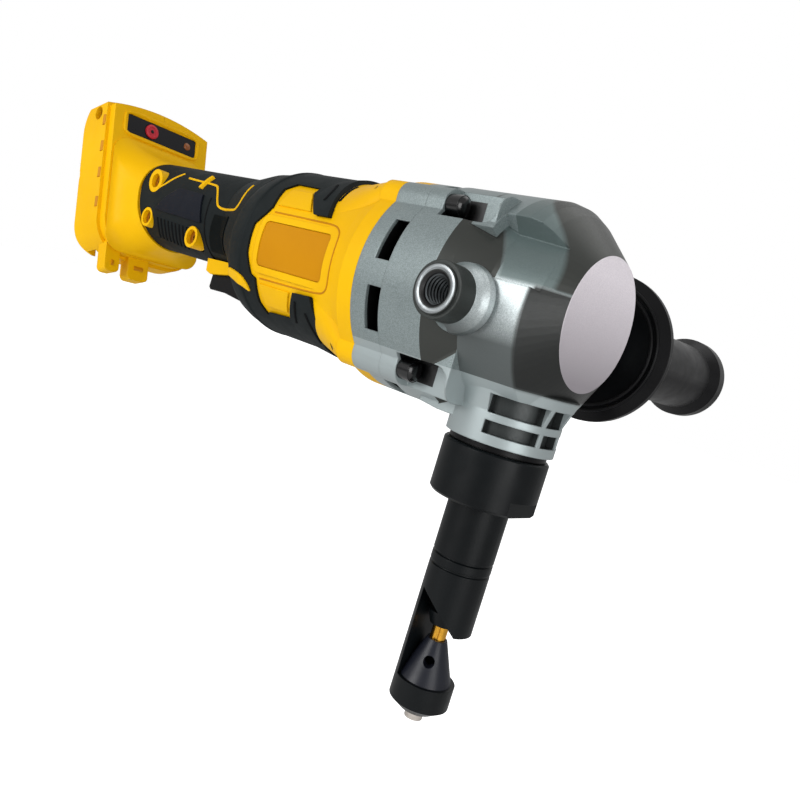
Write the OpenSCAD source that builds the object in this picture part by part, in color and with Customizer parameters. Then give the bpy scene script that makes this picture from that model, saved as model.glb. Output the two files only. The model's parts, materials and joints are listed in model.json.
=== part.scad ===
// Cordless nibbler: battery foot and grip, motor housing, angle gearbox and a round punch and die set.
// The origin is the middle of the plain clamping band of the die holder, on the punch axis.
// +X points from the punch axis away from the motor, +Z up along the punch axis, +Y to the side handle.

/* [Gearbox] */
// Radius of the gearbox and of the vent ring behind it
gearbox_r = 37.5; // [36.5:0.5:39]
// Length of the vent ring
vent_ring_len = 13; // [12:0.5:15]
// Length of the cylindrical belt of the gearbox
belt_len = 18; // [17:0.5:20]
// Length of the bevel in front of the belt
bevel_len = 11; // [9:0.5:12]
// Radius of the nose right in front of the bevel
nose_r = 32.5; // [31.5:0.5:34]
// Distance from the punch axis to the flat front face
nose_overhang = 21.8; // [21:0.2:24]
// Radius of the flat front face
face_r = 21.2; // [20:0.2:23]
// Height of the centre of the front face above the motor axis
face_lift = 3; // [2:0.5:4]
// Depth of the cone between nose and front face
face_cone_len = 8.5; // [7:0.5:10]
// Half width of the four corner ears
ear_half_w = 28.4; // [28:0.2:30]
// Half height of the four corner ears
ear_half_h = 32.6; // [32:0.2:34]
// Distance from the punch axis back to the flange plane of the motor housing
tool_reach = 48.2; // [48:0.2:51]

/* [Side bosses] */
// Distance of the boss mouth from the middle plane
boss_reach = 47.7; // [46:0.1:50]
// Outer radius of a boss
boss_r = 8.6; // [8:0.1:9.5]
// Radius of the handle thread
thread_r = 4.5; // [4.2:0.1:5]
// Depth of the handle thread
thread_depth = 17; // [14:0.5:19]

/* [Tool clamp] */
// Radius of the neck under the gearbox
neck_r = 18.2; // [17.8:0.1:19]
// Depth of the lower end of the neck below the motor axis
neck_drop = 41.2; // [40:0.2:44]
// Radius of the lock nut
nut_r = 17.8; // [17:0.1:19]
// Height of the lock nut
nut_len = 18.2; // [17:0.2:20]
// Distance between the two wrench flats
nut_flats = 31.6; // [30:0.2:33]
// Radius of the die holder tube
tube_r = 10.4; // [10:0.1:11]
// Length of the plain clamping band of the tube
band_len = 19; // [16:0.5:22]

/* [Punch and die] */
// Radius of the fluted punch
punch_r = 2.7; // [2.5:0.05:2.9]
// Height of the throat between tube and die
throat_h = 5; // [4.6:0.1:6]
// Radius of the head that holds the die
head_r = 10.4; // [10:0.1:10.4]
// Stroke of the punch
stroke = 5; // [4:0.5:5]

/* [Drive] */
// Module of the reduction gears
gear_module = 0.75; // [0.7:0.05:0.8]
// Teeth of the motor pinion
pinion_teeth = 11; // [11:1:12]
// Teeth of the drive gear
gear_teeth = 33; // [32:1:34]
// Radius of the crank pin
crank_pin_r = 3; // [2.6:0.1:3.2]

/* [Motor] */
// Radius of the motor housing barrel
barrel_r = 32.8; // [32:0.2:34]
// Length of the motor housing behind its flange plane
barrel_len = 80; // [78:1:84]
// Radius of the stator core
stator_r = 27.8; // [27:0.2:28.4]
// Length of the stator core
stator_len = 38; // [34:1:40]
// Radius of the rotor core
rotor_r = 14.5; // [13.5:0.5:15]
// Radius of the cooling fan
fan_r = 26; // [24:0.5:27]

/* [Grip] */
// Half width of the grip over its soft sleeve
grip_half_w = 19.7; // [19:0.1:21]
// Half height of the grip over its soft sleeve
grip_half_h = 20.8; // [20:0.1:22]
// Thickness of the soft sleeve
sleeve_t = 2.2; // [1.8:0.1:2.6]
// Wall of the plastic shells
shell_wall = 2.4; // [2:0.1:3]
// Travel of the trigger
trigger_angle = 7; // [5:0.5:8]
// Half width of the trigger
trigger_half_w = 8.5; // [8:0.1:9]

/* [Battery foot] */
// Half width of the battery foot
foot_half_w = 29; // [28:0.5:31]
// Height of the foot above its datum
foot_top = 57; // [56:0.5:60]
// Depth of the foot below its datum
foot_bottom = 24; // [23:0.5:26]
// Depth of the foot from front to back
foot_depth = 27; // [26:0.5:29]
// Tilt of the foot
foot_tilt = 16.8; // [15:0.2:18]
// Half width of the battery channel
channel_half_w = 22.5; // [21.5:0.5:23]
// Depth of the battery channel
channel_depth = 12; // [11:0.5:13]

/* [Side handle] */
// Radius of the guard disc
guard_r = 28.7; // [26:0.1:31]
// Radius of the handle grip
handle_r = 13.8; // [13:0.1:15]
// Radius of the end flange of the handle
handle_end_r = 17.9; // [17:0.1:19]
// Length of the handle from guard to end
handle_len = 104; // [95:1:110]

/* [Hidden] */
$fn = 72;

yellow = [0.95, 0.75, 0.03];
black = [0.13, 0.14, 0.15];
cast_grey = [0.46, 0.51, 0.51];
steel = [0.72, 0.73, 0.75];
copper = [0.75, 0.42, 0.2];
gold = [0.83, 0.6, 0.2];

fit = 0.05;
seat = 0.02;
gap = 0.3;

// Levels of the tool stack, measured from the motor axis
nut_gap = 2.3;
nut_top = -neck_drop - nut_gap;
nut_bottom = nut_top - nut_len;
axis_height = -nut_bottom + band_len / 2;
band_bottom = nut_bottom - band_len;
nut_lip = 3.4;
flange_t = 4;
flange_r = nut_r - 4.6;
spigot_r = tube_r - 0.2;
flange_bottom = nut_bottom + nut_lip + seat;
flange_top = flange_bottom + flange_t;
tube_tip = band_bottom - 25.4;
die_top = tube_tip - throat_h;
die_cone_h = 14.2;
strap_x = 5.4;
head_top = die_top - die_cone_h;
head_bottom = head_top - 11;
screw_end = head_bottom - 3.6;
punch_tip = die_top - 1.2;

// Stations along the motor axis, measured from the flange plane
belt_end = vent_ring_len + belt_len;
bevel_end = belt_end + bevel_len;
face_x = tool_reach + nose_overhang;
cone_start = face_x - face_cone_len;
plate_t = 4;
plate_r = gearbox_r - 4.6;
plate_end = vent_ring_len + plate_t;
gear_start = plate_end + 2.5;
gear_w = 10;
gear_end = gear_start + gear_w;
web_start = gear_end + 1.5;
bearing_w = 6;
web_end = web_start + bearing_w + 1;
crank_disc_start = web_end + 0.5;
crank_disc_end = crank_disc_start + 3.2;
rod_half_t = 3.4;
chamber_end = tool_reach + 8;
panel_start = tool_reach - 1.6;
pin_end = tool_reach + rod_half_t + 1.6;

// Gears
pinion_pr = gear_module * pinion_teeth / 2;
gear_pr = gear_module * gear_teeth / 2;
crank_lift = pinion_pr + gear_pr;
gear_space_r = crank_lift + gear_pr + 0.8 * gear_module + 0.5;
throw = stroke / 2;
wrist_z = -8;
rod_len = crank_lift - wrist_z;
rod_swing = throw * 1.03;
big_end_r = crank_pin_r + throw + sqrt(throw * throw + rod_swing * rod_swing) + 0.4;
big_end_outer = big_end_r + 2.5;
small_end_r = 5;
wrist_r = 2.5;
chamber_r = big_end_outer + sqrt(throw * throw + rod_swing * rod_swing) + 0.5;
ram_r = 8;
shank_r = 4;

// Bearings: inner radius, outer radius, width
front_bearing = [4, 9.5, 6];
rear_bearing = [3, 9.5, 6];
crank_rear = [3, 6.5, 5];
crank_front = [6, 12, bearing_w];

// Motor stations
barrel_lift = 1;
pad_t = 1.4;
barrel_inner = stator_r + fit;
housing_step = barrel_r - pad_t;
fan_end = -6;
fan_w = 12;
stator_front = fan_end - fan_w - 7;
stator_rear = stator_front - stator_len;
rear_wall = 4;
rear_hub_start = -barrel_len + 1;

// Corner screws
ear_screw_y = ear_half_w - 4;
ear_screw_z = ear_half_h - 5.6;
ear_screw_r = 2.5;
ear_head_r = 3.6;
pocket_x = vent_ring_len + 7.5;
ear_r = 6;

// Handle axis
handle_x = tool_reach - 5.4;
handle_z = -1.1;
boss_floor = boss_reach - thread_depth;
shoulder_half_w = neck_r - 3.2;

// Grip and foot
grip_z = 8;
core_half_w = grip_half_w - sleeve_t;
core_half_h = grip_half_h - sleeve_t;
foot_x = -barrel_len - 110.9;
grip_front = -barrel_len - 24;
flare_mid = -barrel_len - 7;
ring_front = -barrel_len + 11;
label_rear = ring_front + 9;
sleeve_n = 17.2;
shell_split = 0.05;
trigger_pin_x = -barrel_len - 12;
trigger_pin_z = grip_z - grip_half_h - 3.2;
trigger_rear = trigger_pin_x - 25;
trigger_pin_r = 1.5;
trigger_rise = (trigger_pin_x - trigger_rear) * sin(trigger_angle);
// Screws of the grip, as distance behind the barrel and height
grip_screws = [[-86, 17, 5.6], [-86, -0.5, 4.6], [-45.4, -4.2, 4.8]];
// Upper screw of the foot, as depth and height on the foot
foot_screw = [-13, 49];
screw_shank_r = 1.55;
screw_head_r = 3.1;

// Frames

module power_frame() {
    translate([-tool_reach, 0, axis_height]) children();
}

module tool_frame() {
    translate([0, 0, axis_height]) children();
}

module along_x(x = 0, lift = 0) {
    translate([x, 0, lift]) rotate([0, 90, 0]) children();
}

module foot_frame() {
    power_frame() translate([foot_x, 0, 0]) rotate([0, -foot_tilt, 0]) children();
}

module handle_frame() {
    power_frame() translate([handle_x, 0, handle_z]) rotate([-90, 0, 0]) children();
}

// Extrudes a drawing in the XZ plane along Y, from y0 to y1
module extrude_y(y0, y1) {
    translate([0, y1, 0]) rotate([90, 0, 0]) linear_extrude(y1 - y0) children();
}

// Extrudes a drawing in the YZ plane along X, from x0 to x1
module extrude_x(x0, x1) {
    translate([x0, 0, 0]) rotate([90, 0, 90]) linear_extrude(x1 - x0) children();
}

module cyl_x(r, x0, x1, lift = 0) {
    along_x(x0, lift) cylinder(r = r, h = x1 - x0);
}

module cyl_z(r, z0, z1) {
    translate([0, 0, z0]) cylinder(r = r, h = z1 - z0);
}

module cyl_y(r, y0, y1) {
    translate([0, y1, 0]) rotate([90, 0, 0]) cylinder(r = r, h = y1 - y0);
}

module corners() {
    for (sy = [-1, 1], sz = [-1, 1]) {
        translate([0, sy * ear_screw_y, sz * ear_screw_z]) children();
    }
}

module ear_outline(trim = 0) {
    offset(r = ear_r) square([2 * (ear_half_w - ear_r - trim), 2 * (ear_half_h - ear_r - trim)], center = true);
}

// Bearing as an inner ring, an outer ring and the sealed gap between them
module ball_bearing(size) {
    ring = (size[1] - size[0]) * 0.28;
    difference() {
        cylinder(r = size[1], h = size[2]);
        translate([0, 0, -1]) cylinder(r = size[0] + seat, h = size[2] + 2);
        for (z = [-1, size[2] - 0.6]) {
            translate([0, 0, z]) difference() {
                cylinder(r = size[1] - ring, h = 1.6);
                translate([0, 0, -1]) cylinder(r = size[0] + ring, h = 4);
            }
        }
    }
}

// Gear outline with involute flanks and stub teeth
function involute_angle(base_r, r) = tan(acos(base_r / r)) * 180 / PI - acos(base_r / r);
function tooth_half(teeth, base_r, pitch_r, r) =
    90 / teeth - 0.035 / pitch_r * 180 / PI + involute_angle(base_r, pitch_r) - involute_angle(base_r, r);
function polar(r, a) = [r * cos(a), r * sin(a)];

module gear_outline(teeth) {
    pitch_r = gear_module * teeth / 2;
    base_r = pitch_r * cos(20);
    tip_r = pitch_r + 0.8 * gear_module;
    root_r = pitch_r - 1.1 * gear_module;
    start_r = max(base_r, root_r) + 0.001;
    steps = 5;
    radii = [for (i = [0:steps]) start_r + (tip_r - start_r) * i / steps];
    polygon([for (t = [0:teeth - 1]) each concat(
        [polar(root_r, t * 360 / teeth - tooth_half(teeth, base_r, pitch_r, start_r) - 0.5)],
        [for (r = radii) polar(r, t * 360 / teeth - tooth_half(teeth, base_r, pitch_r, r))],
        [for (i = [0:steps]) polar(radii[steps - i],
            t * 360 / teeth + tooth_half(teeth, base_r, pitch_r, radii[steps - i]))],
        [polar(root_r, t * 360 / teeth + tooth_half(teeth, base_r, pitch_r, start_r) + 0.5)]
    )]);
}

// Gearbox

module gearbox_form() {
    power_frame() {
        // Belt, bevel and lower nose
        along_x() rotate_extrude() polygon([
            [0, vent_ring_len], [gearbox_r, vent_ring_len], [gearbox_r, belt_end],
            [nose_r, bevel_end], [nose_r - 1.5, cone_start], [0, cone_start]
        ]);
        // Skew cone to the front face
        hull() {
            cyl_x(nose_r - 1.5, cone_start - 1, cone_start);
            cyl_x(face_r, face_x - 0.5, face_x, face_lift);
        }
        // Upper nose, which stays high to the front and then slopes to the face
        intersection() {
            along_x(0, face_lift) rotate_extrude() polygon([
                [0, vent_ring_len], [gearbox_r - face_lift + 0.4, vent_ring_len],
                [gearbox_r - face_lift + 0.4, tool_reach + 3], [gearbox_r - face_lift - 0.6, tool_reach + 7],
                [gearbox_r - face_lift - 3, tool_reach + 10.6],
                [face_r, face_x], [0, face_x]
            ]);
            translate([0, -gearbox_r, 8]) cube([face_x, 2 * gearbox_r, gearbox_r]);
        }
        // Ears with the screw seats
        extrude_x(vent_ring_len, bevel_end) ear_outline();
    }
}

// What the bevel and the sunk panel take away, as radius and station
module panel_profile() {
    slope = (gearbox_r - nose_r) / bevel_len;
    sunk_r = gearbox_r - slope * (panel_start - belt_end);
    polygon([
        [gearbox_r + 0.01, belt_end], [gearbox_r + 20, belt_end], [gearbox_r + 20, face_x],
        [sunk_r - 2.4, face_x], [sunk_r, panel_start]
    ]);
}

module gearbox_cuts() {
    power_frame() {
        // Screw pockets, open to the side and to the front
        for (sy = [-1, 1], sz = [-1, 1]) {
            mirror([0, sy < 0 ? 1 : 0, 0]) mirror([0, 0, sz < 0 ? 1 : 0])
                extrude_y(ear_screw_y - ear_head_r - 0.5, ear_half_w + 20) {
                    translate([pocket_x, ear_screw_z - ear_head_r - 1]) square([16, 20]);
                    translate([pocket_x + 16, ear_screw_z - ear_head_r + 4]) circle(r = 5);
                    translate([pocket_x + 16, ear_screw_z - ear_head_r + 4]) square([5, 20]);
                }
        }
        // Bevel and sunk panel on both sides of the upper nose
        for (side = [0, 1]) {
            mirror([0, side, 0]) along_x() {
                rotate([0, 0, 103]) rotate_extrude(angle = 23) intersection() {
                    panel_profile();
                    square([2 * gearbox_r, panel_start]);
                }
                rotate([0, 0, 103]) rotate_extrude(angle = 34) intersection() {
                    panel_profile();
                    translate([0, panel_start - 4]) square([2 * gearbox_r, face_x]);
                }
            }
        }
    }
}

module gearbox_housing() {
    color(cast_grey) difference() {
        union() {
            difference() {
                gearbox_form();
                gearbox_cuts();
            }
            // Side bosses
            power_frame() translate([handle_x, 0, handle_z]) {
                cyl_y(boss_r, -boss_reach + 1, boss_reach - 1);
                cyl_y(boss_r - 1.2, -boss_reach, boss_reach);
            }
            // Neck with two rib bands
            tool_frame() {
                cyl_z(neck_r, -neck_drop, -12);
                translate([0, 0, -31]) cylinder(r1 = neck_r, r2 = neck_r + 3, h = 9);
            }
            // Shoulder between belt and neck
            power_frame() extrude_y(-shoulder_half_w, shoulder_half_w) polygon([
                [belt_end - 8, -25], [belt_end - 8, -gearbox_r + 1.6], [belt_end, -gearbox_r + 0.8],
                [tool_reach, -gearbox_r + 0.8], [tool_reach, -25]
            ]);
        }
        power_frame() {
            // Seat of the bearing plate and gear space
            cyl_x(plate_r + fit, vent_ring_len - 1, plate_end);
            cyl_x(gear_space_r, plate_end - 1, web_start);
            // Seat of the crank bearing
            cyl_x(crank_front[1], web_start - 1, web_start + bearing_w, crank_lift);
            cyl_x(crank_front[1] - 1.5, web_start, web_end + 1, crank_lift);
            // Crank chamber
            cyl_x(chamber_r, web_end, chamber_end, crank_lift);
            translate([web_end, -chamber_r + 1, -12]) cube([chamber_end - web_end, 2 * chamber_r - 2, crank_lift + 12]);
            // Corner screws
            corners() cyl_x(ear_screw_r + 0.1, 0, pocket_x + 1);
            // Handle threads
            for (side = [0, 180]) {
                translate([handle_x, 0, handle_z]) rotate([0, 0, side]) {
                    cyl_y(thread_r, boss_floor, boss_reach + 1);
                    translate([0, boss_reach - 0.8, 0]) rotate([-90, 0, 0])
                        cylinder(r1 = thread_r, r2 = thread_r + 0.9, h = 0.9);
                }
            }
        }
        tool_frame() {
            // Bore for the ram sleeve and the way of the ram
            cyl_z(neck_r - 3.3, -neck_drop - 1, -20);
            cyl_z(ram_r + 1.6, -21, 0);
            // Two rows of windows in the neck
            for (row = [[-31.4, 5.8], [-38, 4.2]], part = [[-78, 58], [-15, 30], [20, 58]]) {
                translate([0, 0, row[0]]) rotate([0, 0, part[0]]) rotate_extrude(angle = part[1])
                    translate([neck_r - 4, 0]) square([8, row[1]]);
            }
        }
    }
}

module vent_ring() {
    color(cast_grey) power_frame() difference() {
        union() {
            cyl_x(gearbox_r, 0, vent_ring_len - seat);
            extrude_x(0, vent_ring_len - seat) ear_outline();
        }
        cyl_x(gearbox_r - 5.5, -1, vent_ring_len + 1);
        corners() cyl_x(ear_screw_r + 0.1, -1, vent_ring_len + 1);
        // Two slots on each side, two on top and two below
        for (y = [-1, 1], z = [-18.2, 4.3]) {
            translate([vent_ring_len - 6.2, y > 0 ? gearbox_r - 14 : -gearbox_r - 1, z]) cube([6.2, 15, 13.8]);
        }
        for (z = [-1, 1], y = [-16.5, 4.5]) {
            translate([vent_ring_len - 6.2, y, z > 0 ? gearbox_r - 14 : -gearbox_r - 1]) cube([6.2, 12, 15]);
        }
    }
}

module gearbox_screws() {
    color(black) power_frame() corners() {
        cyl_x(ear_screw_r, -12, pocket_x + seat);
        difference() {
            cyl_x(ear_head_r, pocket_x + seat, pocket_x + 5);
            extrude_x(pocket_x + 2.2, pocket_x + 6) circle(r = 2, $fn = 6);
        }
    }
}

module bearing_plate() {
    color(steel) power_frame() difference() {
        union() {
            cyl_x(plate_r, vent_ring_len + seat, plate_end - seat);
            cyl_x(front_bearing[1] + 3, vent_ring_len - 8, plate_end - 1);
            cyl_x(crank_rear[1] + 2.2, vent_ring_len - 2, plate_end - 1, crank_lift);
        }
        cyl_x(front_bearing[1] + seat, vent_ring_len - 9, vent_ring_len - 1);
        cyl_x(front_bearing[0] + 1.2, 0, plate_end + 1);
        cyl_x(crank_rear[1] + seat, vent_ring_len - 1, plate_end + 1, crank_lift);
        // Notches beside the corner screws
        corners() cyl_x(ear_screw_r + 0.3, vent_ring_len - 1, plate_end + 1);
        // Relief for the pinion side of the cover
        for (a = [60:60:300]) {
            rotate([a, 0, 0]) cyl_x(3, vent_ring_len - 1, vent_ring_len + 1.2, -25);
        }
    }
}

// Motor

// Side view of the yellow field between the soft pads
module side_field() {
    polygon([
        [-8, 14.5], [-34.5, 14.5], [-44.5, 23], [-44.5, 25.3], [ring_front + 11, 25.6], [ring_front + 7.5, 22.5],
        [ring_front + 9.9, 14.4], [ring_front + 8.4, 11.2], [ring_front + 4.8, 6.6], [ring_front + 5, -4.9],
        [ring_front + 7.5, -12.1], [ring_front + 10.3, -13.2], [ring_front + 9.5, -21.6],
        [ring_front + 12, -25.5], [ring_front + 14, -24.2], [-41.5, -23.6], [-35.2, -14.2], [-8, -13.2]
    ]);
}

// Side view of the two soft pads
module pad_field(trim = 0) {
    difference() {
        offset(delta = -trim) polygon([
            [ring_front, 50], [-40, 50], [-37, 36], [-25.6, 14.5], [-25.6, 0], [-24.8, -13.2],
            [-22.4, -20.9], [-26.7, -30.4], [-29, -50], [ring_front, -50]
        ]);
        offset(delta = trim) side_field();
    }
}

module motor_housing() {
    color(yellow) power_frame() difference() {
        union() {
            along_x(0, barrel_lift) rotate_extrude() polygon([
                [0, -barrel_len], [housing_step - 3, -barrel_len], [housing_step, -barrel_len + 3],
                [housing_step, ring_front], [barrel_r, ring_front], [barrel_r, -34],
                [barrel_r + 0.8, -24], [gearbox_r - 2.5, -13], [gearbox_r - 1, -6], [0, -6]
            ]);
            cyl_x(gearbox_r, -7, -seat);
            // Flare from the barrel to the four ears
            hull() {
                extrude_x(-8, -7.5) ear_outline(0.4);
                cyl_x(barrel_r - 1, -36, -35.5, barrel_lift);
            }
            extrude_x(-8, -seat) ear_outline();
            // Raised frame of the rating plate
            label_frame();
        }
        // Recess of the soft pads
        intersection() {
            along_x(0, barrel_lift) rotate_extrude() translate([housing_step, -barrel_len])
                square([12, barrel_len]);
            extrude_y(-50, 50) pad_field();
        }
        // Motor space, fan space and front opening
        cyl_x(barrel_inner, stator_rear - 8, stator_front);
        cyl_x(barrel_inner - 2, -barrel_len + rear_wall, stator_rear - 7);
        cyl_x(barrel_inner + 1, stator_front - 0.5, 1);
        // Rear bearing seat and openings round it
        cyl_x(rear_bearing[1] + seat, rear_hub_start, -barrel_len + rear_wall + 1);
        cyl_x(5, -barrel_len - 1, 0);
        for (a = [30:60:330]) {
            rotate([a, 0, 0]) cyl_x(4.5, -barrel_len - 1, -barrel_len + rear_wall + 1, 18);
        }
        corners() cyl_x(ear_screw_r + seat, -13, 1);
        label_seat();
    }
}

module label_area(x0, x1, z0, z1, r) {
    offset(r = r) offset(delta = -r) translate([x0, z0]) square([x1 - x0, z1 - z0]);
}

module label_frame() {
    intersection() {
        cyl_x(barrel_r + 0.9, label_rear - 2, -16, barrel_lift);
        extrude_y(-50, 0) label_area(label_rear, -17, -11, 11.3, 3);
    }
}

module label_seat() {
    intersection() {
        difference() {
            cyl_x(barrel_r + 8, label_rear, -16, barrel_lift);
            cyl_x(barrel_r, label_rear - 1, -15, barrel_lift);
        }
        extrude_y(-50, 0) label_area(label_rear + 2.5, -20, -8.4, 8.8, 2);
    }
}

module label_plate() {
    color([0.88, 0.62, 0.08]) power_frame() intersection() {
        difference() {
            cyl_x(barrel_r + 0.6, label_rear, -16, barrel_lift);
            cyl_x(barrel_r + seat, label_rear - 1, -15, barrel_lift);
        }
        extrude_y(-50, 0) label_area(label_rear + 2.7, -20.2, -8.2, 8.6, 2);
    }
}

module housing_pads() {
    color(black) power_frame() intersection() {
        along_x(0, barrel_lift) rotate_extrude() polygon([
            [housing_step + seat, ring_front + fit], [barrel_r + 0.9, ring_front + fit], [barrel_r + 0.9, -42],
            [barrel_r + 2, -30], [gearbox_r - 2, -21], [housing_step + seat, -21]
        ]);
        extrude_y(-50, 50) pad_field(0.1);
    }
}

module stator_core() {
    color(steel) power_frame() along_x(stator_rear) difference() {
        cylinder(r = stator_r, h = stator_len);
        translate([0, 0, -1]) cylinder(r = rotor_r + 0.6, h = stator_len + 2);
        for (a = [0:60:300]) {
            rotate([0, 0, a]) translate([0, 0, -1]) linear_extrude(stator_len + 2) difference() {
                polygon([
                    [rotor_r - 1, -1.2], [rotor_r + 2.5, -1.2], polar(rotor_r + 4, -25), polar(stator_r - 3, -25),
                    polar(stator_r - 2.6, 0), polar(stator_r - 3, 25), polar(rotor_r + 4, 25),
                    [rotor_r + 2.5, 1.2], [rotor_r - 1, 1.2]
                ]);
                for (side = [-30, 30]) {
                    rotate([0, 0, side]) translate([0, -5]) square([stator_r, 10]);
                }
            }
        }
    }
}

module stator_coils() {
    color(copper) power_frame() for (a = [0:60:300]) {
        rotate([a + 30, 0, 0]) translate([stator_rear, 0, -rotor_r - 4.6]) mirror([0, 0, 1]) difference() {
            translate([-4, -7.2, 0]) cube([stator_len + 8, 14.4, 4]);
            translate([-gap, -5.2, -1]) cube([stator_len + 2 * gap, 10.4, 8]);
        }
    }
}

module rotor_core() {
    color(steel) power_frame() along_x(stator_rear) difference() {
        cylinder(r = rotor_r, h = stator_len);
        translate([0, 0, -1]) cylinder(r = front_bearing[0] + seat, h = stator_len + 2);
        for (a = [0:90:270]) {
            rotate([0, 0, a + 45]) translate([rotor_r - 5.5, -5, -1]) cube([2.4, 10, stator_len + 2]);
        }
    }
}

module rotor_shaft() {
    color(steel) power_frame() along_x() rotate_extrude() polygon([
        [0, -barrel_len + 0.4], [rear_bearing[0], -barrel_len + 0.4], [rear_bearing[0], rear_hub_start + 7],
        [front_bearing[0], rear_hub_start + 7.4], [front_bearing[0], plate_end], [1.9, plate_end],
        [1.9, gear_end + 1], [0, gear_end + 1]
    ]);
}

module cooling_fan() {
    color([0.2, 0.2, 0.22]) power_frame() along_x(fan_end - fan_w) {
        difference() {
            union() {
                cylinder(r = 8, h = fan_w);
                translate([0, 0, fan_w - 1.6]) cylinder(r = fan_r, h = 1.6);
                for (a = [0:40:320]) {
                    rotate([0, 0, a]) translate([7, -0.8, 1]) rotate([0, 0, 14]) cube([fan_r - 9, 1.6, fan_w - 1.5]);
                }
            }
            translate([0, 0, -1]) cylinder(r = front_bearing[0] + seat, h = fan_w + 2);
        }
    }
}

module motor_pinion() {
    color(steel) power_frame() along_x(gear_start - 0.8) difference() {
        rotate([0, 0, 180]) linear_extrude(gear_w + 1.6) gear_outline(pinion_teeth);
        translate([0, 0, -1]) cylinder(r = 1.9 + seat, h = gear_w + 4);
    }
}

module rear_motor_bearing() {
    color(steel) power_frame() along_x(rear_hub_start + seat) ball_bearing(rear_bearing);
}

module front_motor_bearing() {
    color(steel) power_frame() along_x(vent_ring_len - 1 - front_bearing[2] - seat) ball_bearing(front_bearing);
}

// Crank drive

module crankshaft() {
    color(steel) power_frame() {
        along_x(0, crank_lift) rotate_extrude() polygon([
            [0, vent_ring_len - 0.6], [crank_rear[0], vent_ring_len - 0.6], [crank_rear[0], plate_end + 0.4],
            [crank_front[0], plate_end + 0.4], [crank_front[0], crank_disc_start],
            [9, crank_disc_start], [9, crank_disc_end], [0, crank_disc_end]
        ]);
        cyl_x(crank_pin_r, crank_disc_start + 0.5, pin_end, crank_lift - throw);
    }
}

module drive_gear() {
    color(steel) power_frame() along_x(gear_start, crank_lift) difference() {
        rotate([0, 0, 180 / gear_teeth]) linear_extrude(gear_w) gear_outline(gear_teeth);
        translate([0, 0, -1]) cylinder(r = crank_front[0] + seat, h = gear_w + 2);
    }
}

module crank_rear_bearing() {
    color(steel) power_frame() along_x(vent_ring_len - 1 + seat, crank_lift) ball_bearing(crank_rear);
}

module crank_front_bearing() {
    color(steel) power_frame() along_x(web_start - seat, crank_lift) ball_bearing(crank_front);
}

module connecting_rod() {
    color(steel) power_frame() difference() {
        union() {
            cyl_x(big_end_outer, tool_reach - rod_half_t, tool_reach + rod_half_t, crank_lift);
            cyl_x(small_end_r, tool_reach - rod_half_t, tool_reach + rod_half_t, wrist_z);
            translate([tool_reach - rod_half_t, -4, wrist_z]) cube([2 * rod_half_t, 8, rod_len - big_end_r - 1]);
        }
        cyl_x(big_end_r, 0, face_x, crank_lift);
        cyl_x(wrist_r + fit, 0, face_x, wrist_z);
    }
}

module ram() {
    color(steel) tool_frame() {
        difference() {
            cyl_z(ram_r, flange_top + 4, wrist_z + 6);
            translate([-rod_half_t - gap, -ram_r - 1, wrist_z - small_end_r - 1.2])
                cube([2 * (rod_half_t + gap), 2 * ram_r + 2, 30]);
            cyl_z(shank_r - 0.4 + seat, flange_top, flange_top + 12);
        }
        cyl_x(wrist_r, -ram_r + 0.6, ram_r - 0.6, wrist_z);
    }
}

module ram_sleeve() {
    color(steel) tool_frame() difference() {
        cyl_z(neck_r - 3.3 - seat, flange_top + seat, -20 - seat);
        cyl_z(ram_r + fit, flange_top - 1, -19);
    }
}

module punch() {
    color(gold) tool_frame() {
        cyl_z(shank_r - 0.4, flange_top + 3, flange_top + 11);
        cyl_z(shank_r, tube_tip + 14, flange_top + 3.8);
        difference() {
            cyl_z(punch_r, punch_tip, tube_tip + 15);
            for (a = [0:90:270]) {
                rotate([0, 0, a + 20]) translate([punch_r + 0.45, 0, punch_tip - 1]) cylinder(r = 0.9, h = 26);
            }
        }
    }
}

// Tool clamp, die holder and die

module lock_nut() {
    color(black) tool_frame() difference() {
        union() {
            translate([0, 0, nut_bottom]) cylinder(r1 = nut_r - 0.8, r2 = nut_r, h = 0.8);
            cyl_z(nut_r, nut_bottom + 0.8, nut_top - 0.6);
            translate([0, 0, nut_top - 0.6]) cylinder(r1 = nut_r, r2 = nut_r - 0.6, h = 0.6);
        }
        cyl_z(neck_r - 3.3 + fit, flange_top, nut_top + 1);
        cyl_z(flange_r + fit, nut_bottom + nut_lip, nut_top);
        cyl_z(tube_r + fit, nut_bottom - 1, nut_top);
        for (side = [-1, 1]) {
            translate([side > 0 ? nut_flats / 2 : -nut_flats / 2 - 10, -20, nut_bottom - 1]) cube([10, 40, 6]);
        }
    }
}

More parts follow.
